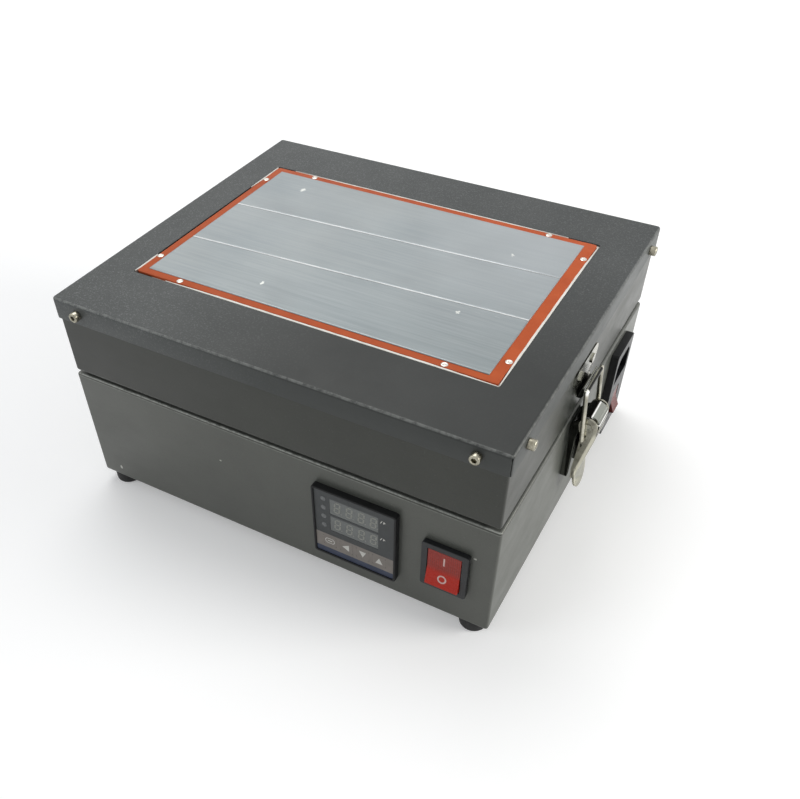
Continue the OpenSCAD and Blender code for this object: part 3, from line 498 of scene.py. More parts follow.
def base_finish():
    """Paint of the base box, with chips, and lines along its top edge:
    worn paint with painted highlight in two light lines, and painted shade in a dark line.
    """
    f = sheet_paint("case_paint", rgb(71, 73, 69), rgb(79, 81, 76), (0.30, 0.42),
                    rgb(104, 106, 102), 0.66, specular=0.55)
    x, y, z = f.axes()
    top = BASE_TOP * MM
    front = f.span(y, in_y(FRONT_Y + 1.6), in_y(FRONT_Y + 0.8), 0.12, 1.0)
    # worn paint and painted highlight: two light lines along the top edge, stronger at the front
    worn_and_highlit(f, f.times(f.within(z, top - 0.5 * MM, top + 1 * MM, 0.1 * MM), front, 0.9),
           rgb(186, 188, 182))
    worn_and_highlit(f, f.times(f.within(z, top - 1.9 * MM, top - 1.35 * MM, 0.15 * MM), front, 0.5),
           rgb(150, 152, 146))
    # painted shade: a dark line along the top edge, between the two light lines
    f.paint(f.times(f.within(z, top - 1.25 * MM, top - 0.7 * MM, 0.1 * MM), 0.6), rgb(30, 31, 29))
    chips = ((-124.0, 16.0, 1.6), (127.6, 63.2, 0.7), (-36.0, 61.0, 0.5))  # x, z, height
    for chip_x, chip_z, long in chips:
        dx = f.minus(x, in_x(chip_x))
        dz = f.times(f.minus(z, chip_z * MM), 1 / long)
        ragged = f.ragged(dx, dz, 0.9, 0.35)
        at_front = f.under(y, in_y(FRONT_Y + 0.5))
        f.paint(f.times(at_front, f.under(ragged, 0.8 * MM)), rgb(190, 190, 182))


def lid_finish():
    """Paint of the lid box: darker than the base's, with a painted reflection darker towards the
    front's left.
    """
    f = sheet_paint("lid_paint", rgb(43, 45, 42), rgb(51, 53, 49), (0.30, 0.42),
                    rgb(84, 86, 83), 0.66, specular=0.42)
    x, y, z = f.axes()
    # painted reflection: darker towards the front's left end
    left = f.times(f.span(x, -0.03, -0.14, 0.0, 0.65), f.span(y, -0.1, -0.12))
    f.paint(left, rgb(20, 22, 21))


METAL = {"metallic": 1.0}
FINISHES = {
    # dark and light colour, roughness, sizes of patches and grain, bump height, other facts
    "foot_rubber": ((15, 16, 16), (22, 22, 22), (0.6, 0.8), 8, 0.7, 0.05, {}),
    "zinc": ((150, 150, 146), (186, 185, 178), (0.25, 0.4), 3, 0.4, 0.02, METAL),
    "stainless": ((128, 124, 110), (176, 172, 156), (0.22, 0.36), 2.5, 0.3, 0.02, METAL),
    "bright_sheet": ((160, 161, 160), (184, 184, 182), (0.52, 0.62), 30, 0.6, 0.01,
                     {**METAL, "where": (1, 8, 8)}),
    "ceramic_paper": ((226, 223, 214), (242, 240, 234), (0.8, 0.95), 5, 0.5, 0.06, {}),
    "bezel_plastic": ((14, 15, 16), (21, 22, 23), (0.42, 0.55), 12, 0.35, 0.012,
                      {"specular": 0.25}),
    "face_film": ((48, 51, 52), (54, 57, 58), (0.45, 0.55), 14, 0.4, 0.006, {}),
    "display_lens": ((101, 104, 103), (108, 111, 109), (0.2, 0.28), 9, 1.0, 0.003, {}),
    "segment_grey": ((128, 129, 122), (138, 139, 131), (0.3, 0.4), 2, 0.5, 0.003, {}),
    "mark_white": ((196, 194, 188), (214, 212, 206), (0.45, 0.6), 2, 0.4, 0.004, {}),
    "mark_pink": ((206, 172, 166), (220, 188, 182), (0.4, 0.5), 2, 0.4, 0.004, {}),
    "lamp_lens": ((92, 94, 95), (112, 114, 114), (0.15, 0.25), 1.2, 0.5, 0.004, {}),
    "key_rubber": ((123, 117, 111), (131, 124, 118), (0.5, 0.62), 6, 0.4, 0.01, {}),
    "key_band": ((120, 114, 108), (129, 122, 116), (0.45, 0.58), 7, 0.4, 0.006, {}),
    "blue_band": ((34, 44, 66), (42, 52, 76), (0.4, 0.52), 7, 0.4, 0.006, {}),
    "inlet_black": ((15, 17, 19), (23, 25, 27), (0.28, 0.4), 7, 0.4, 0.01, {"specular": 0.3}),
    "switch_black": ((26, 28, 30), (35, 37, 39), (0.28, 0.4), 7, 0.4, 0.01, {"specular": 0.35}),
    "pin_metal": ((170, 168, 160), (196, 194, 186), (0.2, 0.3), 2, 0.3, 0.02, METAL),
    "relay_shell": ((214, 213, 206), (228, 227, 221), (0.35, 0.5), 10, 0.5, 0.02, {}),
    "heatsink_metal": ((168, 170, 173), (188, 190, 193), (0.3, 0.45), 8, 0.4, 0.02,
                       {**METAL, "where": (8, 1, 8)}),
    "terminal_plastic": ((214, 207, 188), (226, 220, 203), (0.4, 0.55), 8, 0.5, 0.02, {}),
    "brass": ((184, 142, 70), (206, 168, 94), (0.25, 0.4), 3, 0.4, 0.02, METAL),
    "lead_brown": ((96, 56, 34), (112, 68, 42), (0.4, 0.55), 6, 0.6, 0.02, {}),
    "lead_red": ((150, 34, 28), (170, 44, 36), (0.4, 0.55), 6, 0.6, 0.02, {}),
    "hinge_steel": ((158, 158, 154), (188, 188, 182), (0.25, 0.4), 6, 0.4, 0.01,
                    {**METAL, "where": (1, 6, 1)}),
    "silicone": ((174, 80, 44), (188, 90, 50), (0.5, 0.62), 18, 0.5, 0.02, {"specular": 0.15}),
    "eyelet_metal": ((196, 192, 184), (224, 221, 214), (0.2, 0.35), 1.5, 0.3, 0.02, METAL),
    "probe_metal": ((150, 150, 148), (176, 176, 172), (0.25, 0.4), 4, 0.4, 0.02, METAL),
    "cutout_shell": ((46, 36, 30), (58, 46, 38), (0.3, 0.45), 5, 0.4, 0.02, {}),
    "glass_braid": ((206, 204, 196), (226, 224, 217), (0.75, 0.9), 2, 0.5, 0.08, {}),
    "seal_black": ((30, 29, 28), (40, 38, 36), (0.65, 0.85), 9, 0.7, 0.05, {}),
    # painted highlight: the joints' beads stand for light on the plates' overlapping edges
    "seam_highlight": ((222, 224, 224), (240, 241, 240), (0.35, 0.5), 3, 0.6, 0.01, {}),
}
cap_finish()
base_finish()
lid_finish()
for name, (*numbers, facts) in FINISHES.items():
    finish(name, *numbers, **facts)


def plated(name, dark, middle, light, patch=4.0):
    """Nickel plate: smeared tone and roughness, with darker specks where it has dulled."""
    f = Finish(name, metallic=1.0)
    smear = f.noise(patch, 5, 0.6)
    # the smear between dark and light is partly random tone and partly painted reflection
    base = f.ramp(smear, (0.28, dark), (0.45, middle), (0.72, light))
    specks = f.ramp(f.noise(0.7, 3, 0.7), (0.58, 0.0), (0.68, 1.0))
    stain = f.ramp(f.noise(5, 3), (0.45, 0.0), (0.62, 1.0))
    f.colour(f.mix(f.times(specks, stain, 0.35), base, dark))
    f.rough(f.span(f.noise(5, 4, 0.6), 0.3, 0.75, 0.16, 0.3))
    f.bump(f.noise(2.2, 2, 0.5), 0.004)
    return f


def around(f, px, pz):
    """Angle about an axis along Y, in radians, and distance from it."""
    x, y, z = f.axes()
    dx = f.minus(x, in_x(px))
    dz = f.minus(z, pz * MM)
    return f.maths("ARCTAN2", dz, dx), f.reach(dx, dz)


def lever_plate():
    """The lever's plating. Its light and dark bands, spots and bends are painted reflections,
    highlights and shade.
    """
    f = plated("lever_plate", rgb(128, 125, 111), rgb(150, 148, 136), rgb(172, 170, 156))
    x, y, z = f.axes()
    across = f.maths("ABSOLUTE", f.minus(y, in_y(LATCH_Y)))
    # painted light towards the tongue, with a painted highlight along the bend of each cheek
    low = f.span(z, 60 * MM, 42 * MM, 0.0, 0.45)
    f.paint(low, rgb(170, 169, 154))
    foot_x, foot_z = CHEEK_FOOT
    head_x, head_z = CHEEK_HEAD
    slope = (head_x - foot_x) / (head_z - foot_z)
    edge = f.minus(f.minus(x, in_x(foot_x)), f.times(f.minus(z, foot_z * MM), slope))
    band = f.times(f.span(edge, -2.5 * MM, -1.9 * MM),
                   f.span(edge, -0.9 * MM, -0.5 * MM, 1.0, 0.5),
                   f.span(z, 84 * MM, 80 * MM), f.over(across, 7.6 * MM))
    f.paint(f.times(band, 0.8), rgb(206, 203, 186))
    # painted shade: a dark line in the crease along each cheek's bend
    crease = f.times(f.within(edge, -2.1 * MM, -1.7 * MM),
                     f.within(z, 50 * MM, 55.5 * MM, 0.6 * MM), f.over(across, 9.5 * MM))
    f.paint(f.times(crease, 0.7), rgb(92, 89, 76))
    # dark spots painted below the pin, in place of the wire's reflections: x, z, width, height
    spots = ((149.6, 80.6, 1.0, 0.8), (148.6, 77.4, 0.5, 1.0), (148.4, 73.2, 0.6, 1.5))
    for bx, bz, wide, high in spots:
        dx = f.times(f.minus(x, in_x(bx)), 1 / wide)
        dz = f.times(f.minus(z, bz * MM), 1 / high)
        ragged = f.ragged(dx, dz, 1.3, 0.3)
        dark_reflection = f.times(f.span(ragged, 1.0 * MM, 0.8 * MM, 0.0, 0.9), f.over(across, 9.5 * MM))
        f.paint(dark_reflection, rgb(34, 33, 28))
    # bands painted round the roll in place of reflections, by the angle about the pin
    turn, reach = around(f, PIN_X, PIN_Z)
    share = f.span(turn, radians(-30), radians(180))
    at = lambda degrees: (degrees + 30) / 210
    bands = f.ramp(
        share, (at(-5), rgb(34, 35, 33)), (at(3), rgb(44, 45, 42)), (at(7), rgb(236, 236, 230)),
        (at(16), rgb(240, 240, 235)), (at(19), rgb(60, 61, 57)), (at(23), rgb(70, 71, 67)),
        (at(27), rgb(146, 148, 141)), (at(78), rgb(152, 155, 148)), (at(81), rgb(252, 252, 249)),
        (at(87), rgb(250, 250, 247)), (at(90), rgb(30, 30, 28)), (at(170), rgb(24, 24, 23)))
    f.paint(f.times(f.under(reach, 6.0 * MM), f.under(across, 7.72 * MM)), bands)


def wire_plate():
    """The bail's plating: warm and light. Dark tones and a light line on the cross bar are painted
    reflections.
    """
    f = plated("nickel_wire", rgb(150, 147, 131), rgb(186, 183, 168), rgb(206, 203, 192), patch=2.5)
    x, y, z = f.axes()
    # painted reflections round the cross bar, by the angle about it
    turn, reach = around(f, BAR_X, BAR_Z)
    at = lambda degrees: (degrees + 60) / 240
    share = f.span(turn, radians(-60), radians(180))
    bands = f.ramp(share, (at(-50), rgb(30, 31, 29)), (at(84), rgb(46, 47, 44)),
                   (at(94), rgb(196, 196, 188)), (at(132), rgb(180, 180, 170)),
                   (at(142), rgb(44, 45, 42)), (at(178), rgb(36, 37, 34)))
    across = f.minus(y, in_y(LATCH_Y))
    on_bar = f.times(f.under(reach, 2.0 * MM), f.under(f.maths("ABSOLUTE", across), 11.6 * MM))
    f.paint(on_bar, bands)
    # painted highlight at the front corner, and painted shade on the legs below the bar
    bright_end = f.times(f.under(across, -11.8 * MM), f.over(z, (BAR_Z - 1.4) * MM, 0.6 * MM))
    f.paint(bright_end, rgb(244, 244, 238))
    dim = f.times(f.within(z, (BAR_Z - 12) * MM, (BAR_Z - 2.4) * MM, 2.5 * MM), 0.45)
    f.paint(dim, rgb(70, 70, 62))


def hook_plate():
    """The strike's plating: a dark painted reflection at the front, painted shade in the hook, painted
    light at the back.
    """
    f = plated("nickel_hook", rgb(30, 31, 29), rgb(118, 120, 112), rgb(190, 190, 180), patch=3.0)
    x, y, z = f.axes()
    # painted light at the back
    rear = f.span(y, in_y(LATCH_Y + 5), in_y(LATCH_Y + 13), 0.0, 0.85)
    f.paint(rear, rgb(192, 190, 178))
    # painted shade in the hook
    hook = f.over(x, in_x(LID_W / 2 + 1.4))
    f.paint(hook, rgb(34, 35, 32))
    # painted highlight along the hook's lip
    lip = f.times(hook, f.over(z, 112.5 * MM))
    f.paint(lip, rgb(140, 141, 134))


def base_plate():
    """The latch base's plating: nearly black as a dark painted reflection, lighter below as a painted
    reflection of the wall.
    """
    f = plated("nickel_base", rgb(22, 23, 21), rgb(30, 31, 28), rgb(44, 45, 41))
    x, y, z = f.axes()
    # painted reflection of the wall: lighter low down and close to the wall
    out = f.span(x, in_x(SIDE_X), in_x(SIDE_X + 4.7))
    height = f.span(z, 46 * MM, 86 * MM, 0.0, 0.64)
    mirror = f.span(f.maths("ADD", out, height), 0.5, 0.62, 0.8, 0.0)
    f.paint(mirror, rgb(96, 98, 92))
    # painted highlight: a light line near the flange's outer edge, low down
    line = f.times(f.span(out, 0.84, 0.87), f.span(out, 0.95, 0.97, 1.0, 0.0),
                   f.span(z, 78 * MM, 72 * MM))
    f.paint(f.times(line, 0.8), rgb(132, 134, 127))


def rocker_red(name, middle, dark, light):
    """Red plastic. With a middle height, ribs are drawn on it, and its halves get painted light and a
    painted sheen.
    """
    f = Finish(name, specular=0.2)
    x, y, z = f.axes()
    tone = f.noise(5, 3)
    base = f.ramp(tone, (0.3, dark), (0.7, light))
    if middle is not None:
        lower = f.span(z, (middle + 1.0) * MM, (middle - 2.5) * MM)
        rows = f.maths("SINE", f.times(z, 2 * pi / (1.2 * MM)))
        columns = f.maths("SINE", f.times(x, 2 * pi / (1.2 * MM)))
        grid = f.span(f.times(rows, columns), -0.3, 0.5, 0.0, 0.7)
        # ribs inside the lower half, seen through the plastic
        base = f.mix(f.times(grid, lower), base, rgb(104, 16, 10))
        # painted light: the lower half brighter and redder, lit through the plastic
        base = f.mix(f.times(lower, 0.55), base, rgb(204, 44, 24))
        upper = f.maths("SUBTRACT", 1.0, lower, clamp=True)
        # painted sheen: the upper half duller and paler
        base = f.mix(f.times(upper, 0.55), base, rgb(148, 66, 58))
        ribs = f.span(columns, -0.2, 0.8, 0.0, 0.35)
        base = f.mix(f.times(ribs, upper), base, rgb(96, 34, 28))
    f.colour(base)
    f.rough(f.span(f.noise(2, 3), 0.3, 0.7, 0.2, 0.34))
    f.bump(f.noise(0.7, 2), 0.006)


def plate_metal():
    """Satin aluminium: long faint rolling lines, cloudy tone, fine cross scratches.

    It has painted light towards the rear right and painted shade towards the front right.
    """
    f = Finish("plate_metal", metallic=0.85)
    cloud = f.noise(70, 4, 0.55)
    base = f.ramp(cloud, (0.3, rgb(141, 148, 151)), (0.7, rgb(153, 158, 159)))
    x, y, z = f.axes()
    # painted light towards the rear right
    right = f.times(f.span(x, 0.0, 0.085), f.span(y, -0.05, 0.0))
    base = f.mix(right, base, rgb(168, 173, 176))
    # painted shade towards the front right
    near = f.span(f.minus(f.times(x, 0.5), y), -0.06, 0.12, 0.0, 0.8)
    base = f.mix(near, base, rgb(116, 124, 126))
    lines = f.noise(1.6, 3, 0.6, f.stretched(0.03, 1, 1, (0, 0, -3)))
    base = f.mix(f.span(lines, 0.35, 0.7, 0.0, 0.18), base, rgb(180, 184, 184))
    scratch = f.noise(1.1, 2, 0.8, f.stretched(0.05, 1.4, 1, (0, 0, 38)))
    marks = f.ramp(scratch, (0.70, 0.0), (0.76, 1.0))
    field = f.ramp(f.noise(26, 2), (0.56, 0.0), (0.66, 1.0))
    base = f.mix(f.times(marks, field, 0.5), base, rgb(226, 228, 228))
    # a few rubbed spots: x, y, radius
    spots = ((-41.5, -52.9, 1.3), (-81.9, 56.0, 1.6), (69.4, -27.1, 1.2), (72.8, 42.9, 1.1))
    for sx, sy, r in spots:
        dx = f.minus(x, in_x(sx))
        dy = f.times(f.minus(y, in_y(sy)), 0.7)
        ragged = f.ragged(dx, dy, 1.2, 0.8)
        base = f.mix(f.span(ragged, r * MM, (r - 0.5) * MM, 0.0, 0.8), base, rgb(222, 223, 218))
    f.colour(base)
    f.rough(f.span(f.noise(40, 4), 0.3, 0.7, 0.34, 0.5))
    f.bump(lines, 0.004)


plated("nickel", rgb(104, 103, 92), rgb(176, 175, 163), rgb(206, 204, 193))
wire_plate()
base_plate()
hook_plate()
lever_plate()
plate_metal()
rocker_red("front_rocker_red", SWITCH_Z, rgb(158, 40, 30), rgb(178, 50, 38))
rocker_red("inlet_rocker_red", None, rgb(78, 28, 25), rgb(100, 38, 34))

# ---------- camera

EYE = Vector((0.21670, -0.39786, 0.40375))
AHEAD = Vector((-0.35059, 0.60293, -0.71663))
UP = Vector((-0.34285, 0.62945, 0.69731))
FOCAL_PX, CENTRE_PX, WIDTH_PX, HEIGHT_PX = 852.47, (358.96, 502.51), 800.0, 799.0

camera = placed("camera", bpy.data.cameras.new("camera"))
bpy.context.scene.camera = camera
back = -AHEAD.normalized()
right = UP.cross(back).normalized()
camera.matrix_world = Matrix.Translation(EYE) @ Matrix(
    (right, back.cross(right), back)).transposed().to_4x4()
camera.data.sensor_width = 36.0
camera.data.lens = FOCAL_PX / WIDTH_PX * 36.0
camera.data.shift_x = (WIDTH_PX / 2 - CENTRE_PX[0]) / WIDTH_PX
camera.data.shift_y = (CENTRE_PX[1] - HEIGHT_PX / 2) / WIDTH_PX
camera.data.clip_start, camera.data.clip_end = 0.01, 20.0


# ---------- case

def arc(cx, cz, r, start, end, steps=4):
    """Points (out, z) along an arc, angles in degrees from outwards."""
    return [
        (cx + r * cos(radians(start + (end - start) * i / steps)),
         cz + r * sin(radians(start + (end - start) * i / steps)))
        for i in range(steps + 1)
    ]


BEND = 1.5
CORNER = 1.8


def case_loops(w, d, profile, corner):
    """Loops of a box from a profile of (inset, z); the corner radius shrinks with the inset."""
    return [
        rounded(w - 2 * inset, d - 2 * inset, max(corner - inset, 0.4), z)
        for inset, z in profile
    ]


def outer_bends(bottom, top):
    """Profile of a box side from its bottom face, round both bends, to its top face."""
    low = [(BEND - out, z) for out, z in arc(0, bottom + BEND, BEND, -90, 0)]
    high = [(BEND - out, z) for out, z in arc(0, top - BEND, BEND, 0, 90)]
    return [(BEND + 0.4, bottom), *low, (0, bottom + BEND + 0.5), (0, top - BEND - 0.5), *high,
            (BEND + 0.4, top)]


def build_lower_case():
    t, rim = 1.5, 20.0
    inner = [(t, FOOT_H + t), (t, BASE_TOP - t), (rim, BASE_TOP - t), (rim, BASE_TOP)]
    profile = inner + list(reversed(outer_bends(FOOT_H, BASE_TOP)))
    shape = loft(case_loops(BASE_W, BASE_D, profile, CORNER))
    obj = instead("lower_case", shape, "base", "case_paint", "dark_paint")
    holes = [
        block(x - w, x + w, FRONT_Y - 2, FRONT_Y + 4, z - h, z + h)
        for x, z, (w, h) in ((CTRL_X, CTRL_Z, CTRL_HOLE), (SWITCH_X, SWITCH_Z, SWITCH_HOLE))
    ]
    w, h = INLET_HOLE
    holes.append(block(SIDE_X - 4, SIDE_X + 2, INLET_Y - w, INLET_Y + w, INLET_Z - h, INLET_Z + h))
    cut(obj, holes)


def build_upper_case():
    t, lip = 1.2, 10.0
    inner = [(lip, LID_BOTTOM), (lip, LID_BOTTOM + t), (t, LID_BOTTOM + t),
             (t, BOARD_TOP - t), (lip, BOARD_TOP - t), (lip, BOARD_TOP)]
    profile = inner + list(reversed(outer_bends(LID_BOTTOM, BOARD_TOP)))
    shape = loft(case_loops(LID_W, LID_D, profile, CORNER), ring=True)
    instead("upper_case", shape, "lid", "lid_paint")


def build_top_cap():
    t = 1.2
    w, d, cx, cy = WINDOW
    bend = [(BEND - out, z) for out, z in arc(0, CAP_TOP - BEND, BEND, 90, 0, 6)]
    outer = [(BEND + 0.5, CAP_TOP)] + bend + [
        (0, CAP_TOP - BEND - 0.5), (0, SKIRT_BOTTOM + 0.4), (0.12, SKIRT_BOTTOM + 0.1),
        (0.35, SKIRT_BOTTOM), (t - 0.3, SKIRT_BOTTOM), (t, SKIRT_BOTTOM + 0.3),
        (t, CAP_TOP - t)]
    loops = [rounded(w, d, 1.5, CAP_TOP - t, cx, cy), rounded(w, d, 1.5, CAP_TOP - 0.25, cx, cy),
             rounded(w + 0.5, d + 0.5, 1.75, CAP_TOP, cx, cy)]
    loops += case_loops(CAP_W, CAP_D, outer, 2.2)
    obj = instead("top_cap", loft(loops, ring=True), "lid", "cap_paint")
    slit = block(-3, 3, -0.22, 0.22, SKIRT_BOTTOM - 1, CAP_TOP - 2.6)
    hole = loft([circle(0.55, CAP_TOP - 3.0, 12), circle(0.55, CAP_TOP - 1.9, 12)])
    slits, holes = [], []
    for sx, sy in CORNERS:
        at = (sx * (CAP_W / 2 - 0.9), sy * (CAP_D / 2 - 0.9), 0)
        slits.append(moved(slit, at, 45 * sx * sy))
        holes.append(moved(hole, at))
    cut(cut(obj, slits), holes)


build_lower_case()
build_upper_case()
build_top_cap()

# ---------- heating window

def build_plates():
    """Three thin sheets with slightly rolled edges; the joints slant by three degrees."""
    w, d, cx, cy = FIELD
    slope = tan(radians(3))
    joints = [-d / 2, -d / 6 + 0.3, d / 6 + 0.7, d / 2]
    lean = [0, slope, slope, 0]
    gap = [0, 0.3, 0.3, 0]
    for i, name in enumerate(("plate_front", "plate_middle", "plate_rear")):
        def outline(inset):
            y = lambda j, x, side: joints[j] + lean[j] * x + side * (gap[j] + inset)
            x0, x1 = -w / 2 + inset, w / 2 - inset
            steps = 12
            xs = [x0 + (x1 - x0) * k / steps for k in range(steps + 1)]
            return [(cx + x, cy + y(i, x, 1)) for x in xs] + \
                [(cx + x, cy + y(i + 1, x, -1)) for x in reversed(xs)]
        top = PLATE_TOP - 0.04
        levels = [(0, MAT_TOP), (0, top - 0.45), (0.1, top - 0.2), (0.3, top - 0.05),
                  (0.55, top), (0.9, top)]
        loops = [[(x, y, z) for x, y in outline(inset)] for inset, z in levels]
        instead(name, loft(loops), "lid", "plate_metal")
    # bright beads in the two joints, white as a painted highlight on the plates' raised overlapping
    # edges
    for j in (1, 2):
        n = 60
        near, far = [], []
        for k in range(n + 1):
            x = -w / 2 + 0.4 + (w - 0.8) * k / n
            half = 0.42 + 0.1 * sin(0.31 * k + j) + rng.uniform(-0.05, 0.05)
            if j == 2 and k > n * 0.8:
                half *= max(0.25, 1 - (k / n - 0.8) * 5)
            y = joints[j] + slope * x
            near.append((cx + x, cy + y - half))
            far.append((cx + x, cy + y + half))
        bead = prism(near + far[::-1], MAT_TOP - 0.05, PLATE_TOP - 0.015)
        piece(f"joint_bead_{j}", bead, "lid", "seam_highlight", "ceramic_paper")


def build_mat():
    w, d, cx, cy = WINDOW
    w, d = w - 3.0, d - 3.0
    loops = [rounded(w, d, 1.5, BOARD_TOP, cx, cy), rounded(w, d, 1.5, MAT_TOP - 0.3, cx, cy),
             rounded(w - 0.2, d - 0.2, 1.4, MAT_TOP - 0.08, cx, cy),
             rounded(w - 0.6, d - 0.6, 1.2, MAT_TOP, cx, cy)]
    instead("heater_mat", loft(loops), "lid", "silicone")


def build_edge_strip():
    """White ceramic strip that shows past the mat, mostly along the front and right."""
    w, d, cx, cy = WINDOW
    runs = []
    def run(start, end, wide, ripple):
        (x0, y0), (x1, y1) = start, end
        length = hypot(x1 - x0, y1 - y0)
        n = max(int(length / 4), 4)
        ux, uy = (x1 - x0) / length, (y1 - y0) / length
        inner, outer = [], []
        for k in range(n + 1):
            s = length * k / n
            end_taper = min(1.0, 4 * k / n + 0.3, 4 * (1 - k / n) + 0.3)
            half = (wide + rng.uniform(-ripple, ripple)) * end_taper
            px, py = x0 + ux * s, y0 + uy * s
            inner.append((px - uy * half, py + ux * half))
            outer.append((px, py))
        runs.append(prism(outer + inner[::-1], BOARD_TOP, CAP_TOP + 0.03))
    half_w, half_d = w / 2 - 0.15, d / 2 - 0.15
    run((cx - 92, cy - half_d), (cx + half_w - 1, cy - half_d), 1.3, 0.12)
    run((cx + half_w, cy - half_d + 1), (cx + half_w, cy + half_d - 4), 1.3, 0.15)
    run((cx - half_w, cy - half_d + 22), (cx - half_w, cy - half_d + 1), 1.1, 0.3)
    run((cx + half_w - 20, cy + half_d), (cx - half_w + 14, cy + half_d), 0.9, 0.2)
    run((cx - half_w, cy + half_d - 1), (cx - half_w, cy + half_d - 34), 0.9, 0.2)
    instead("ceramic_edge", joined(*runs), "lid", "ceramic_paper")


def eyelet(n=24):
    levels = [(1.95, MAT_TOP + 0.02), (1.95, MAT_TOP + 0.14), (1.7, MAT_TOP + 0.32),
              (1.35, MAT_TOP + 0.38), (1.05, MAT_TOP + 0.3), (0.85, MAT_TOP + 0.05),
              (0.8, MAT_TOP - 1.0), (0.7, MAT_TOP - 1.05)]
    return loft([circle(r, z, n) for r, z in levels])


def build_eyelets():
    w, d, cx, cy = WINDOW
    spots = [(cx + sx * EYELET_X, cy + sy * (d / 2 - EYELET_IN)) for sx, sy in CORNERS]
    spots += [(cx + sx * (w / 2 - EYELET_IN), cy + sy * EYELET_Y) for sx, sy in CORNERS]
    instead("mat_eyelets", joined(*(moved(eyelet(), (x, y, 0)) for x, y in spots)),
            "lid", "eyelet_metal")


build_plates()
build_mat()
build_edge_strip()
build_eyelets()


# ---------- fasteners and feet

def socket_head(r=2.9, h=4.0, socket=1.5, n=36):
    """Cylinder head with a rounded rim and a hex socket."""
    loops = []
    for radius, z in ((r - 0.25, 0.0), (r, 0.2), (r, h - 0.6), (r - 0.18, h - 0.22),
                      (r - 0.5, h - 0.02), (r - 0.8, h)):
        loops.append(circle(radius, z, n))
    loops.append(polygon_loop(6, socket + 0.15, h - 0.02, n))
    loops.append(polygon_loop(6, socket, h - 0.25, n))
    loops.append(polygon_loop(6, socket, h - 2.1, n))
    return loft(loops)


def build_cap_screws():
    z = (CAP_TOP + SKIRT_BOTTOM) / 2
    heads = []
    for s in SIDES:
        heads += [("front", (s * SCREW_X, -CAP_D / 2, z)), ("back", (s * SCREW_X, CAP_D / 2, z)),
                  ("right", (CAP_W / 2, s * SCREW_Y, z)), ("left", (-CAP_W / 2, s * SCREW_Y, z))]
    screws = []
    for k, (facing, at) in enumerate(heads):
        points, faces = moved(socket_head(), turn=17 * k)
        screws.append(([tuple(FACINGS[facing] @ Vector(p) + Vector(at)) for p in points], faces))
    instead("cap_screws", joined(*screws), "lid", "stainless")


def build_feet():
    profile = [(3.9, 3.0), (4.4, 2.6), (4.5, 0.5), (4.7, 0.12), (5.0, 0.0), (7.4, 0.0), (7.8, 0.08),
               (8.2, 0.35), (8.45, 0.9), (8.58, 1.8), (8.6, 7.3), (8.5, 7.85), (8.2, 8.0)]
    foot = loft([circle(r, z, 48) for r, z in profile])
    spots = [(sx * (SIDE_X - FOOT_IN_X), sy * (-FRONT_Y - FOOT_IN_Y), 0) for sx, sy in CORNERS]
    instead("feet", joined(*(moved(foot, at) for at in spots)), "base", "foot_rubber")


build_cap_screws()
build_feet()

# ---------- controller

CTRL = (CTRL_X, FRONT_Y, CTRL_Z)
PROUD, FACE_IN = 4.2, 0.8
DIGIT_ROWS, DIGIT_X, DIGIT_STEP = (14.6, 1.0), -10.6, 7.65
LAMPS_X, LAMPS_Z = -19.4, (19.0, 12.1, 5.1, -2.0)
KEYS_X, KEYS_Z, KEY_W, KEY_H = (-16.2, -5.4, 5.4, 16.1), -14.6, 8.4, 7.4


def build_bezel():
    size, field = CTRL_SIZE, CTRL_FIELD
    outer = [(size, 0.0, 1.5), (size, PROUD - 0.5, 1.5), (size - 0.25, PROUD - 0.12, 1.4),
             (size - 0.7, PROUD, 1.2), (field + 0.6, PROUD, 1.2), (field + 0.2, PROUD - 0.12, 1.05),
             (field, PROUD - 0.4, 1.0), (field, 0.0, 1.0)]
    loops = [rounded(s, s, r, z) for s, z, r in outer]
    instead("controller_bezel", loft(loops, ring=True), "base", "bezel_plastic", at=CTRL,
            facing="front")


def segment(x, y, length, upright):
    """Seven-segment bar: a flat hexagon."""
    half, wide = length / 2, 0.48
    outline = [(-half, 0), (-half + wide, -wide), (half - wide, -wide), (half, 0),
               (half - wide, wide), (-half + wide, wide)]
    if upright:
        outline = [(-b, a) for a, b in outline]
    slant = 0.10
    return [(x + a + slant * (y + b), y + b) for a, b in outline]


def digit(cx, cy, z0, z1):
    w, h = 3.2, 7.3
    bars = [(0, h / 2, w, False), (0, 0, w, False), (0, -h / 2, w, False),
            (-w / 2, h / 4, h / 2, True), (w / 2, h / 4, h / 2, True),
            (-w / 2, -h / 4, h / 2, True), (w / 2, -h / 4, h / 2, True)]
    shapes = [prism(segment(x, y, length - 0.35, up), z0, z1) for x, y, length, up in bars]
    shapes.append(loft([circle(0.38, z0, 10, w / 2 + 1.0, -h / 2),
                        circle(0.38, z1, 10, w / 2 + 1.0, -h / 2)]))
    return moved(joined(*shapes), (cx, cy, 0))


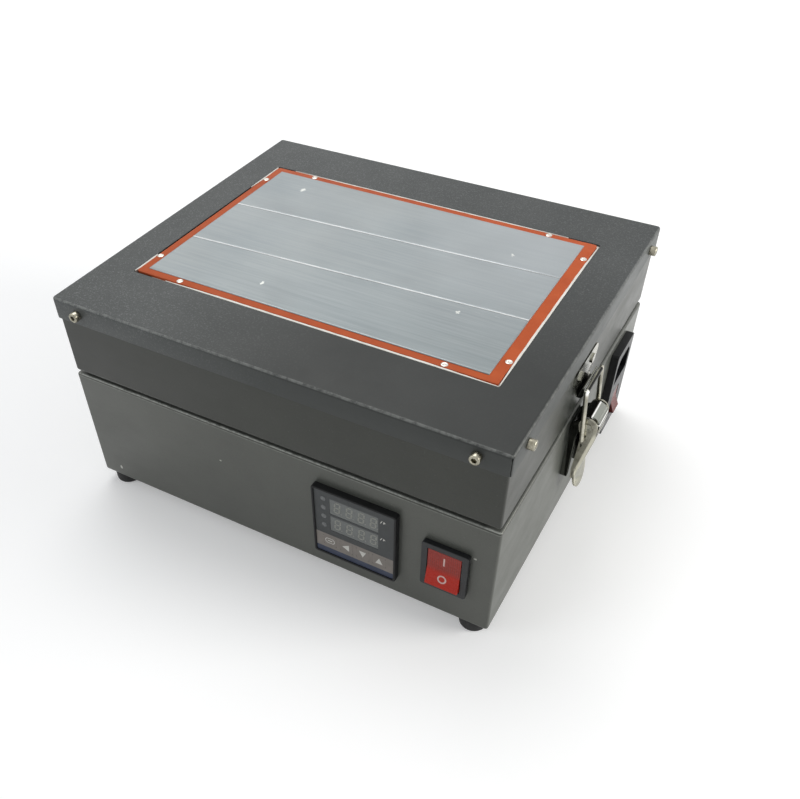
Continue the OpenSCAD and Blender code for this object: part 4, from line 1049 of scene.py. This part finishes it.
def build_display():
    glass_top = PROUD - FACE_IN - 0.2
    shapes = []
    for row in DIGIT_ROWS:
        for i in range(4):
            shapes.append(digit(DIGIT_X + DIGIT_STEP * i, row + 0.4, glass_top - 0.02,
                                glass_top + 0.03))
    piece("display_segments", joined(*shapes), "base", "segment_grey", "display_lens",
          at=CTRL, facing="front")
    face = PROUD - FACE_IN
    marks = []
    for row in DIGIT_ROWS:
        x, y = 16.5, row + 3.9
        marks.append(prism([(x, y - 1.0), (x + 0.5, y - 1.0), (x + 1.6, y + 1.0), (x + 1.1, y + 1.0)],
                           face, face + 0.04))
        marks.append(prism([(x + 1.9, y - 1.0), (x + 3.5, y), (x + 2.3, y + 1.0)], face, face + 0.04))
    piece("row_marks", joined(*marks), "base", "mark_white", "face_film", at=CTRL, facing="front")
    domes = [
        moved(loft([circle(r, z, 20) for r, z in (
            (1.7, face - 0.2), (1.7, face + 0.05), (1.45, face + 0.2), (0.8, face + 0.28),
            (0.2, face + 0.3))]), (LAMPS_X, z, 0))
        for z in LAMPS_Z
    ]
    instead("indicator_lamps", joined(*domes), "base", "lamp_lens", at=CTRL, facing="front")


def build_key_band():
    """Continuous band round the four keys, and the bare strip below it."""
    face = PROUD - FACE_IN
    half = CTRL_FIELD / 2 - 0.1
    band = block(-half, half, -20.8, -9.2, face - 0.03, face + 0.05)
    obj = piece("key_band", band, "base", "key_band", "key_rubber", at=CTRL, facing="front")
    holes = []
    for x in KEYS_X:
        hx, hz = CTRL[0] + x, CTRL[2] + KEYS_Z
        holes.append(block(hx - KEY_W / 2 - 0.03, hx + KEY_W / 2 + 0.03, FRONT_Y - face - 1,
                           FRONT_Y - face + 1, hz - KEY_H / 2 - 0.03, hz + KEY_H / 2 + 0.03))
    cut(obj, holes)
    strip = block(-half, half, -half, -20.8, face - 0.03, face + 0.05)
    piece("lower_band", strip, "base", "blue_band", "face_film", at=CTRL, facing="front")
    tip = face + 0.1
    left = [(1.9, -2.6), (1.9, 2.6), (-2.6, 0)]
    down = [(-2.3, 2.2), (0, -2.5), (2.3, 2.2)]
    up = [(-2.3, -2.2), (2.3, -2.2), (0, 2.5)]
    for k, (node, body) in enumerate((("key_set", "key_1"), ("key_left", "key_2"),
                                      ("key_down", "key_3"), ("key_up", "key_4"))):
        at = (CTRL[0] + KEYS_X[k], FRONT_Y, CTRL[2] + KEYS_Z)
        cap = loft([rounded(KEY_W - 2 * i, KEY_H - 2 * i, 0.8 - i * 0.6, z) for i, z in (
            (0, tip - 1.5), (0, tip - 0.06), (0.03, tip - 0.03), (0.2, tip - 0.02), (0.5, tip - 0.02))])
        instead(node, cap, body, "key_rubber", at=at, facing="front")
        if k:
            mark = prism((left, down, up)[k - 1], tip - 0.05, tip)
        else:
            outer = rounded(6.4, 4.2, 2.0, 0)
            inner = rounded(5.5, 3.3, 1.55, 0)
            ring_shape = loft([[(x, y, z) for x, y, _ in loop] for loop, z in (
                (outer, tip - 0.05), (outer, tip), (inner, tip), (inner, tip - 0.05))], ring=True)
            dash = block(-1.5, 1.5, -0.35, 0.35, tip - 0.05, tip)
            mark = joined(ring_shape, dash)
        piece(node + "_mark", mark, body, "mark_white", "key_rubber", at=at, facing="front")


build_bezel()
build_display()
build_key_band()

# ---------- switches and inlet

def build_switch_marks():
    """White bar and ring on the front rocker, laid on its two faces."""
    tilt = radians(ROCK_TILT)
    def on_face(shape, up):
        """Puts a flat shape on the upper (+1) or lower (-1) face."""
        verts = []
        for x, y, z in shape[0]:
            height = up * 6.5 + y
            depth = ROCK_VALLEY + abs(height) * tan(tilt) + 0.02 + z
            py = height * cos(tilt) + depth * sin(tilt)
            pz = -height * sin(tilt) + depth * cos(tilt)
            verts.append((x, py, pz))
        return verts, shape[1]
    bar = block(-0.45, 0.45, -3.0, 3.0, 0, 0.05)
    ring_shape = loft([circle(2.7, 0, 40), circle(2.7, 0.05, 40), circle(1.8, 0.05, 40),
                       circle(1.8, 0, 40)], ring=True)
    piece("rocker_marks", joined(on_face(bar, 1), on_face(ring_shape, -1)),
          "front_rocker", "mark_pink", "switch_red", at=(SWITCH_X, FRONT_Y, SWITCH_Z),
          facing="front")


build_switch_marks()
soften("switch_housing", 0.45, "switch_black")
soften("switch_rocker", 0.5, "front_rocker_red", steps=3)
soften("inlet_housing", 0.4, "inlet_black")
soften("inlet_rocker", 0.4, "inlet_rocker_red", steps=3)
soften("inlet_pins", 0.3, "pin_metal")

# ---------- latch and hinges

def lever_bend(edge):
    """Edges between a cheek's outer side and the lever's outer face."""
    if edge.calc_face_angle(0.0) < radians(60):
        return False
    a, b = (face.normal for face in edge.link_faces)
    if abs(b.y) > 0.9:
        a, b = b, a
    middle = (edge.verts[0].co + edge.verts[1].co) / 2 / MM + MID
    return (abs(a.y) > 0.9 and b.x > 0.6 and CHEEK_FOOT[1] < middle.z < PIN_Z - 2
            and abs(middle.y - LATCH_Y) > LEVER_W / 2 - 0.1)


soften("strike_plate", 0.28, "nickel_hook")
soften("latch_lever", 0.25, "lever_plate", bend=(2.2, lever_bend))
soften("latch_base", 0.25, "nickel_base")
soften("hinge_leaves_base", 0.3, "hinge_steel")
soften("hinge_leaves_lid", 0.3, "hinge_steel")

PLAIN = {
    # CAD nodes that keep their own shape
    "zinc": "foot_screws foot_nuts tray_screws hinge_pins hinge_screws_base liner_rivets "
            "hinge_screws_lid",
    "bright_sheet": "deck_frame chamber_pan lid_liner",
    "ceramic_paper": "tray_pad insulation_board",
    "bezel_plastic": "controller_housing controller_clamp",
    "face_film": "controller_face",
    "display_lens": "display_windows",
    "relay_shell": "relay",
    "heatsink_metal": "relay_heatsink",
    "terminal_plastic": "terminal_block",
    "brass": "earth_stud",
    "lead_brown": "mains_leads",
    "lead_red": "control_leads",
    "nickel": "latch_rivets latch_pin strike_rivets",
    "nickel_wire": "latch_bail",
    "probe_metal": "thermocouple",
    "cutout_shell": "thermal_cutout",
    "glass_braid": "heater_leads",
    "seal_black": "lid_seal",
}
for look, nodes in PLAIN.items():
    for node in nodes.split():
        mesh = NODES[node].data
        mesh.materials.clear()
        mesh.materials.append(looks[look])

# ---------- stage and light

FLOOR_HALF, FLOOR_Z = 6.0, -0.0003
FLOOR_GLOW, FAR_GLOW, FADE_FROM, FADE_TO = 0.27, 0.55, 0.6, 2.2
LAMP_AIM = Vector((0, 0, 0.07))


def rays(tree):
    """Light Path's node, and 1 for camera, glossy and transmission rays."""
    path = tree.nodes.new("ShaderNodeLightPath")
    seen = path.outputs["Is Camera Ray"]
    for kind in ("Is Glossy Ray", "Is Transmission Ray"):
        either = tree.nodes.new("ShaderNodeMath")
        either.operation = "MAXIMUM"
        tree.links.new(seen, either.inputs[0])
        tree.links.new(path.outputs[kind], either.inputs[1])
        seen = either.outputs[0]
    return path, seen


def build_stage():
    """Pale floor that keeps the shadow, and fades to white away from the object."""
    f = Finish("floor_white")
    n = f.tree.nodes
    n.remove(f.bsdf)
    out = n["Material Output"]
    matte = f.node("ShaderNodeBsdfDiffuse")
    put(matte, {"Color": (0.84, 0.84, 0.84, 1)})
    glow = f.node("ShaderNodeEmission")
    put(glow, {"Color": (1, 1, 1, 1)})
    path, seen = rays(f.tree)
    x, y, z = f.axes()
    away = f.reach(x, y)
    far = f.times(f.span(away, FADE_FROM, FADE_TO, 0.0, FAR_GLOW), path.outputs["Is Camera Ray"])
    f.link(f.maths("ADD", f.times(seen, FLOOR_GLOW), far), glow.inputs["Strength"])
    both = f.node("ShaderNodeAddShader")
    f.link(matte.outputs[0], both.inputs[0])
    f.link(glow.outputs[0], both.inputs[1])
    f.link(both.outputs[0], out.inputs["Surface"])
    mesh = bpy.data.meshes.new("floor")
    corners = [(FLOOR_HALF * sx, FLOOR_HALF * sy, FLOOR_Z)
               for sx, sy in ((-1, -1), (1, -1), (1, 1), (-1, 1))]
    mesh.from_pydata(corners, [], [(0, 1, 2, 3)])
    mesh.materials.append(f.mat)
    placed("floor", mesh)


def lamp(name, at, size, watts, colour=(1, 1, 1)):
    data = bpy.data.lights.new(name, "AREA")
    data.shape, data.size, data.energy, data.color = "DISK", size, watts, colour
    obj = placed(name, data)
    obj.location = at
    obj.rotation_mode = "QUATERNION"
    obj.rotation_quaternion = (LAMP_AIM - Vector(at)).to_track_quat("-Z", "Y")


def build_world():
    world = bpy.data.worlds.new("studio")
    bpy.context.scene.world = world
    world.use_nodes = True
    tree = world.node_tree
    soft = tree.nodes["Background"]
    put(soft, {"Color": (0.86, 0.88, 0.9, 1), "Strength": 0.42})
    white = tree.nodes.new("ShaderNodeBackground")
    put(white, {"Color": (1, 1, 1, 1)})
    mix = tree.nodes.new("ShaderNodeMixShader")
    tree.links.new(rays(tree)[1], mix.inputs["Fac"])
    tree.links.new(soft.outputs[0], mix.inputs[1])
    tree.links.new(white.outputs[0], mix.inputs[2])
    tree.links.new(mix.outputs[0], tree.nodes["World Output"].inputs["Surface"])


build_stage()
build_world()
lamp("key", (1.5, 0.4, 0.5), 0.9, 21.0, (1.0, 0.985, 0.95))
lamp("top", (-0.55, 0.45, 1.6), 1.2, 12.0)
lamp("fill", (-1.1, -1.2, 0.7), 1.0, 5.0, (0.95, 0.98, 1.0))

bpy.context.scene.view_settings.view_transform = "Standard"
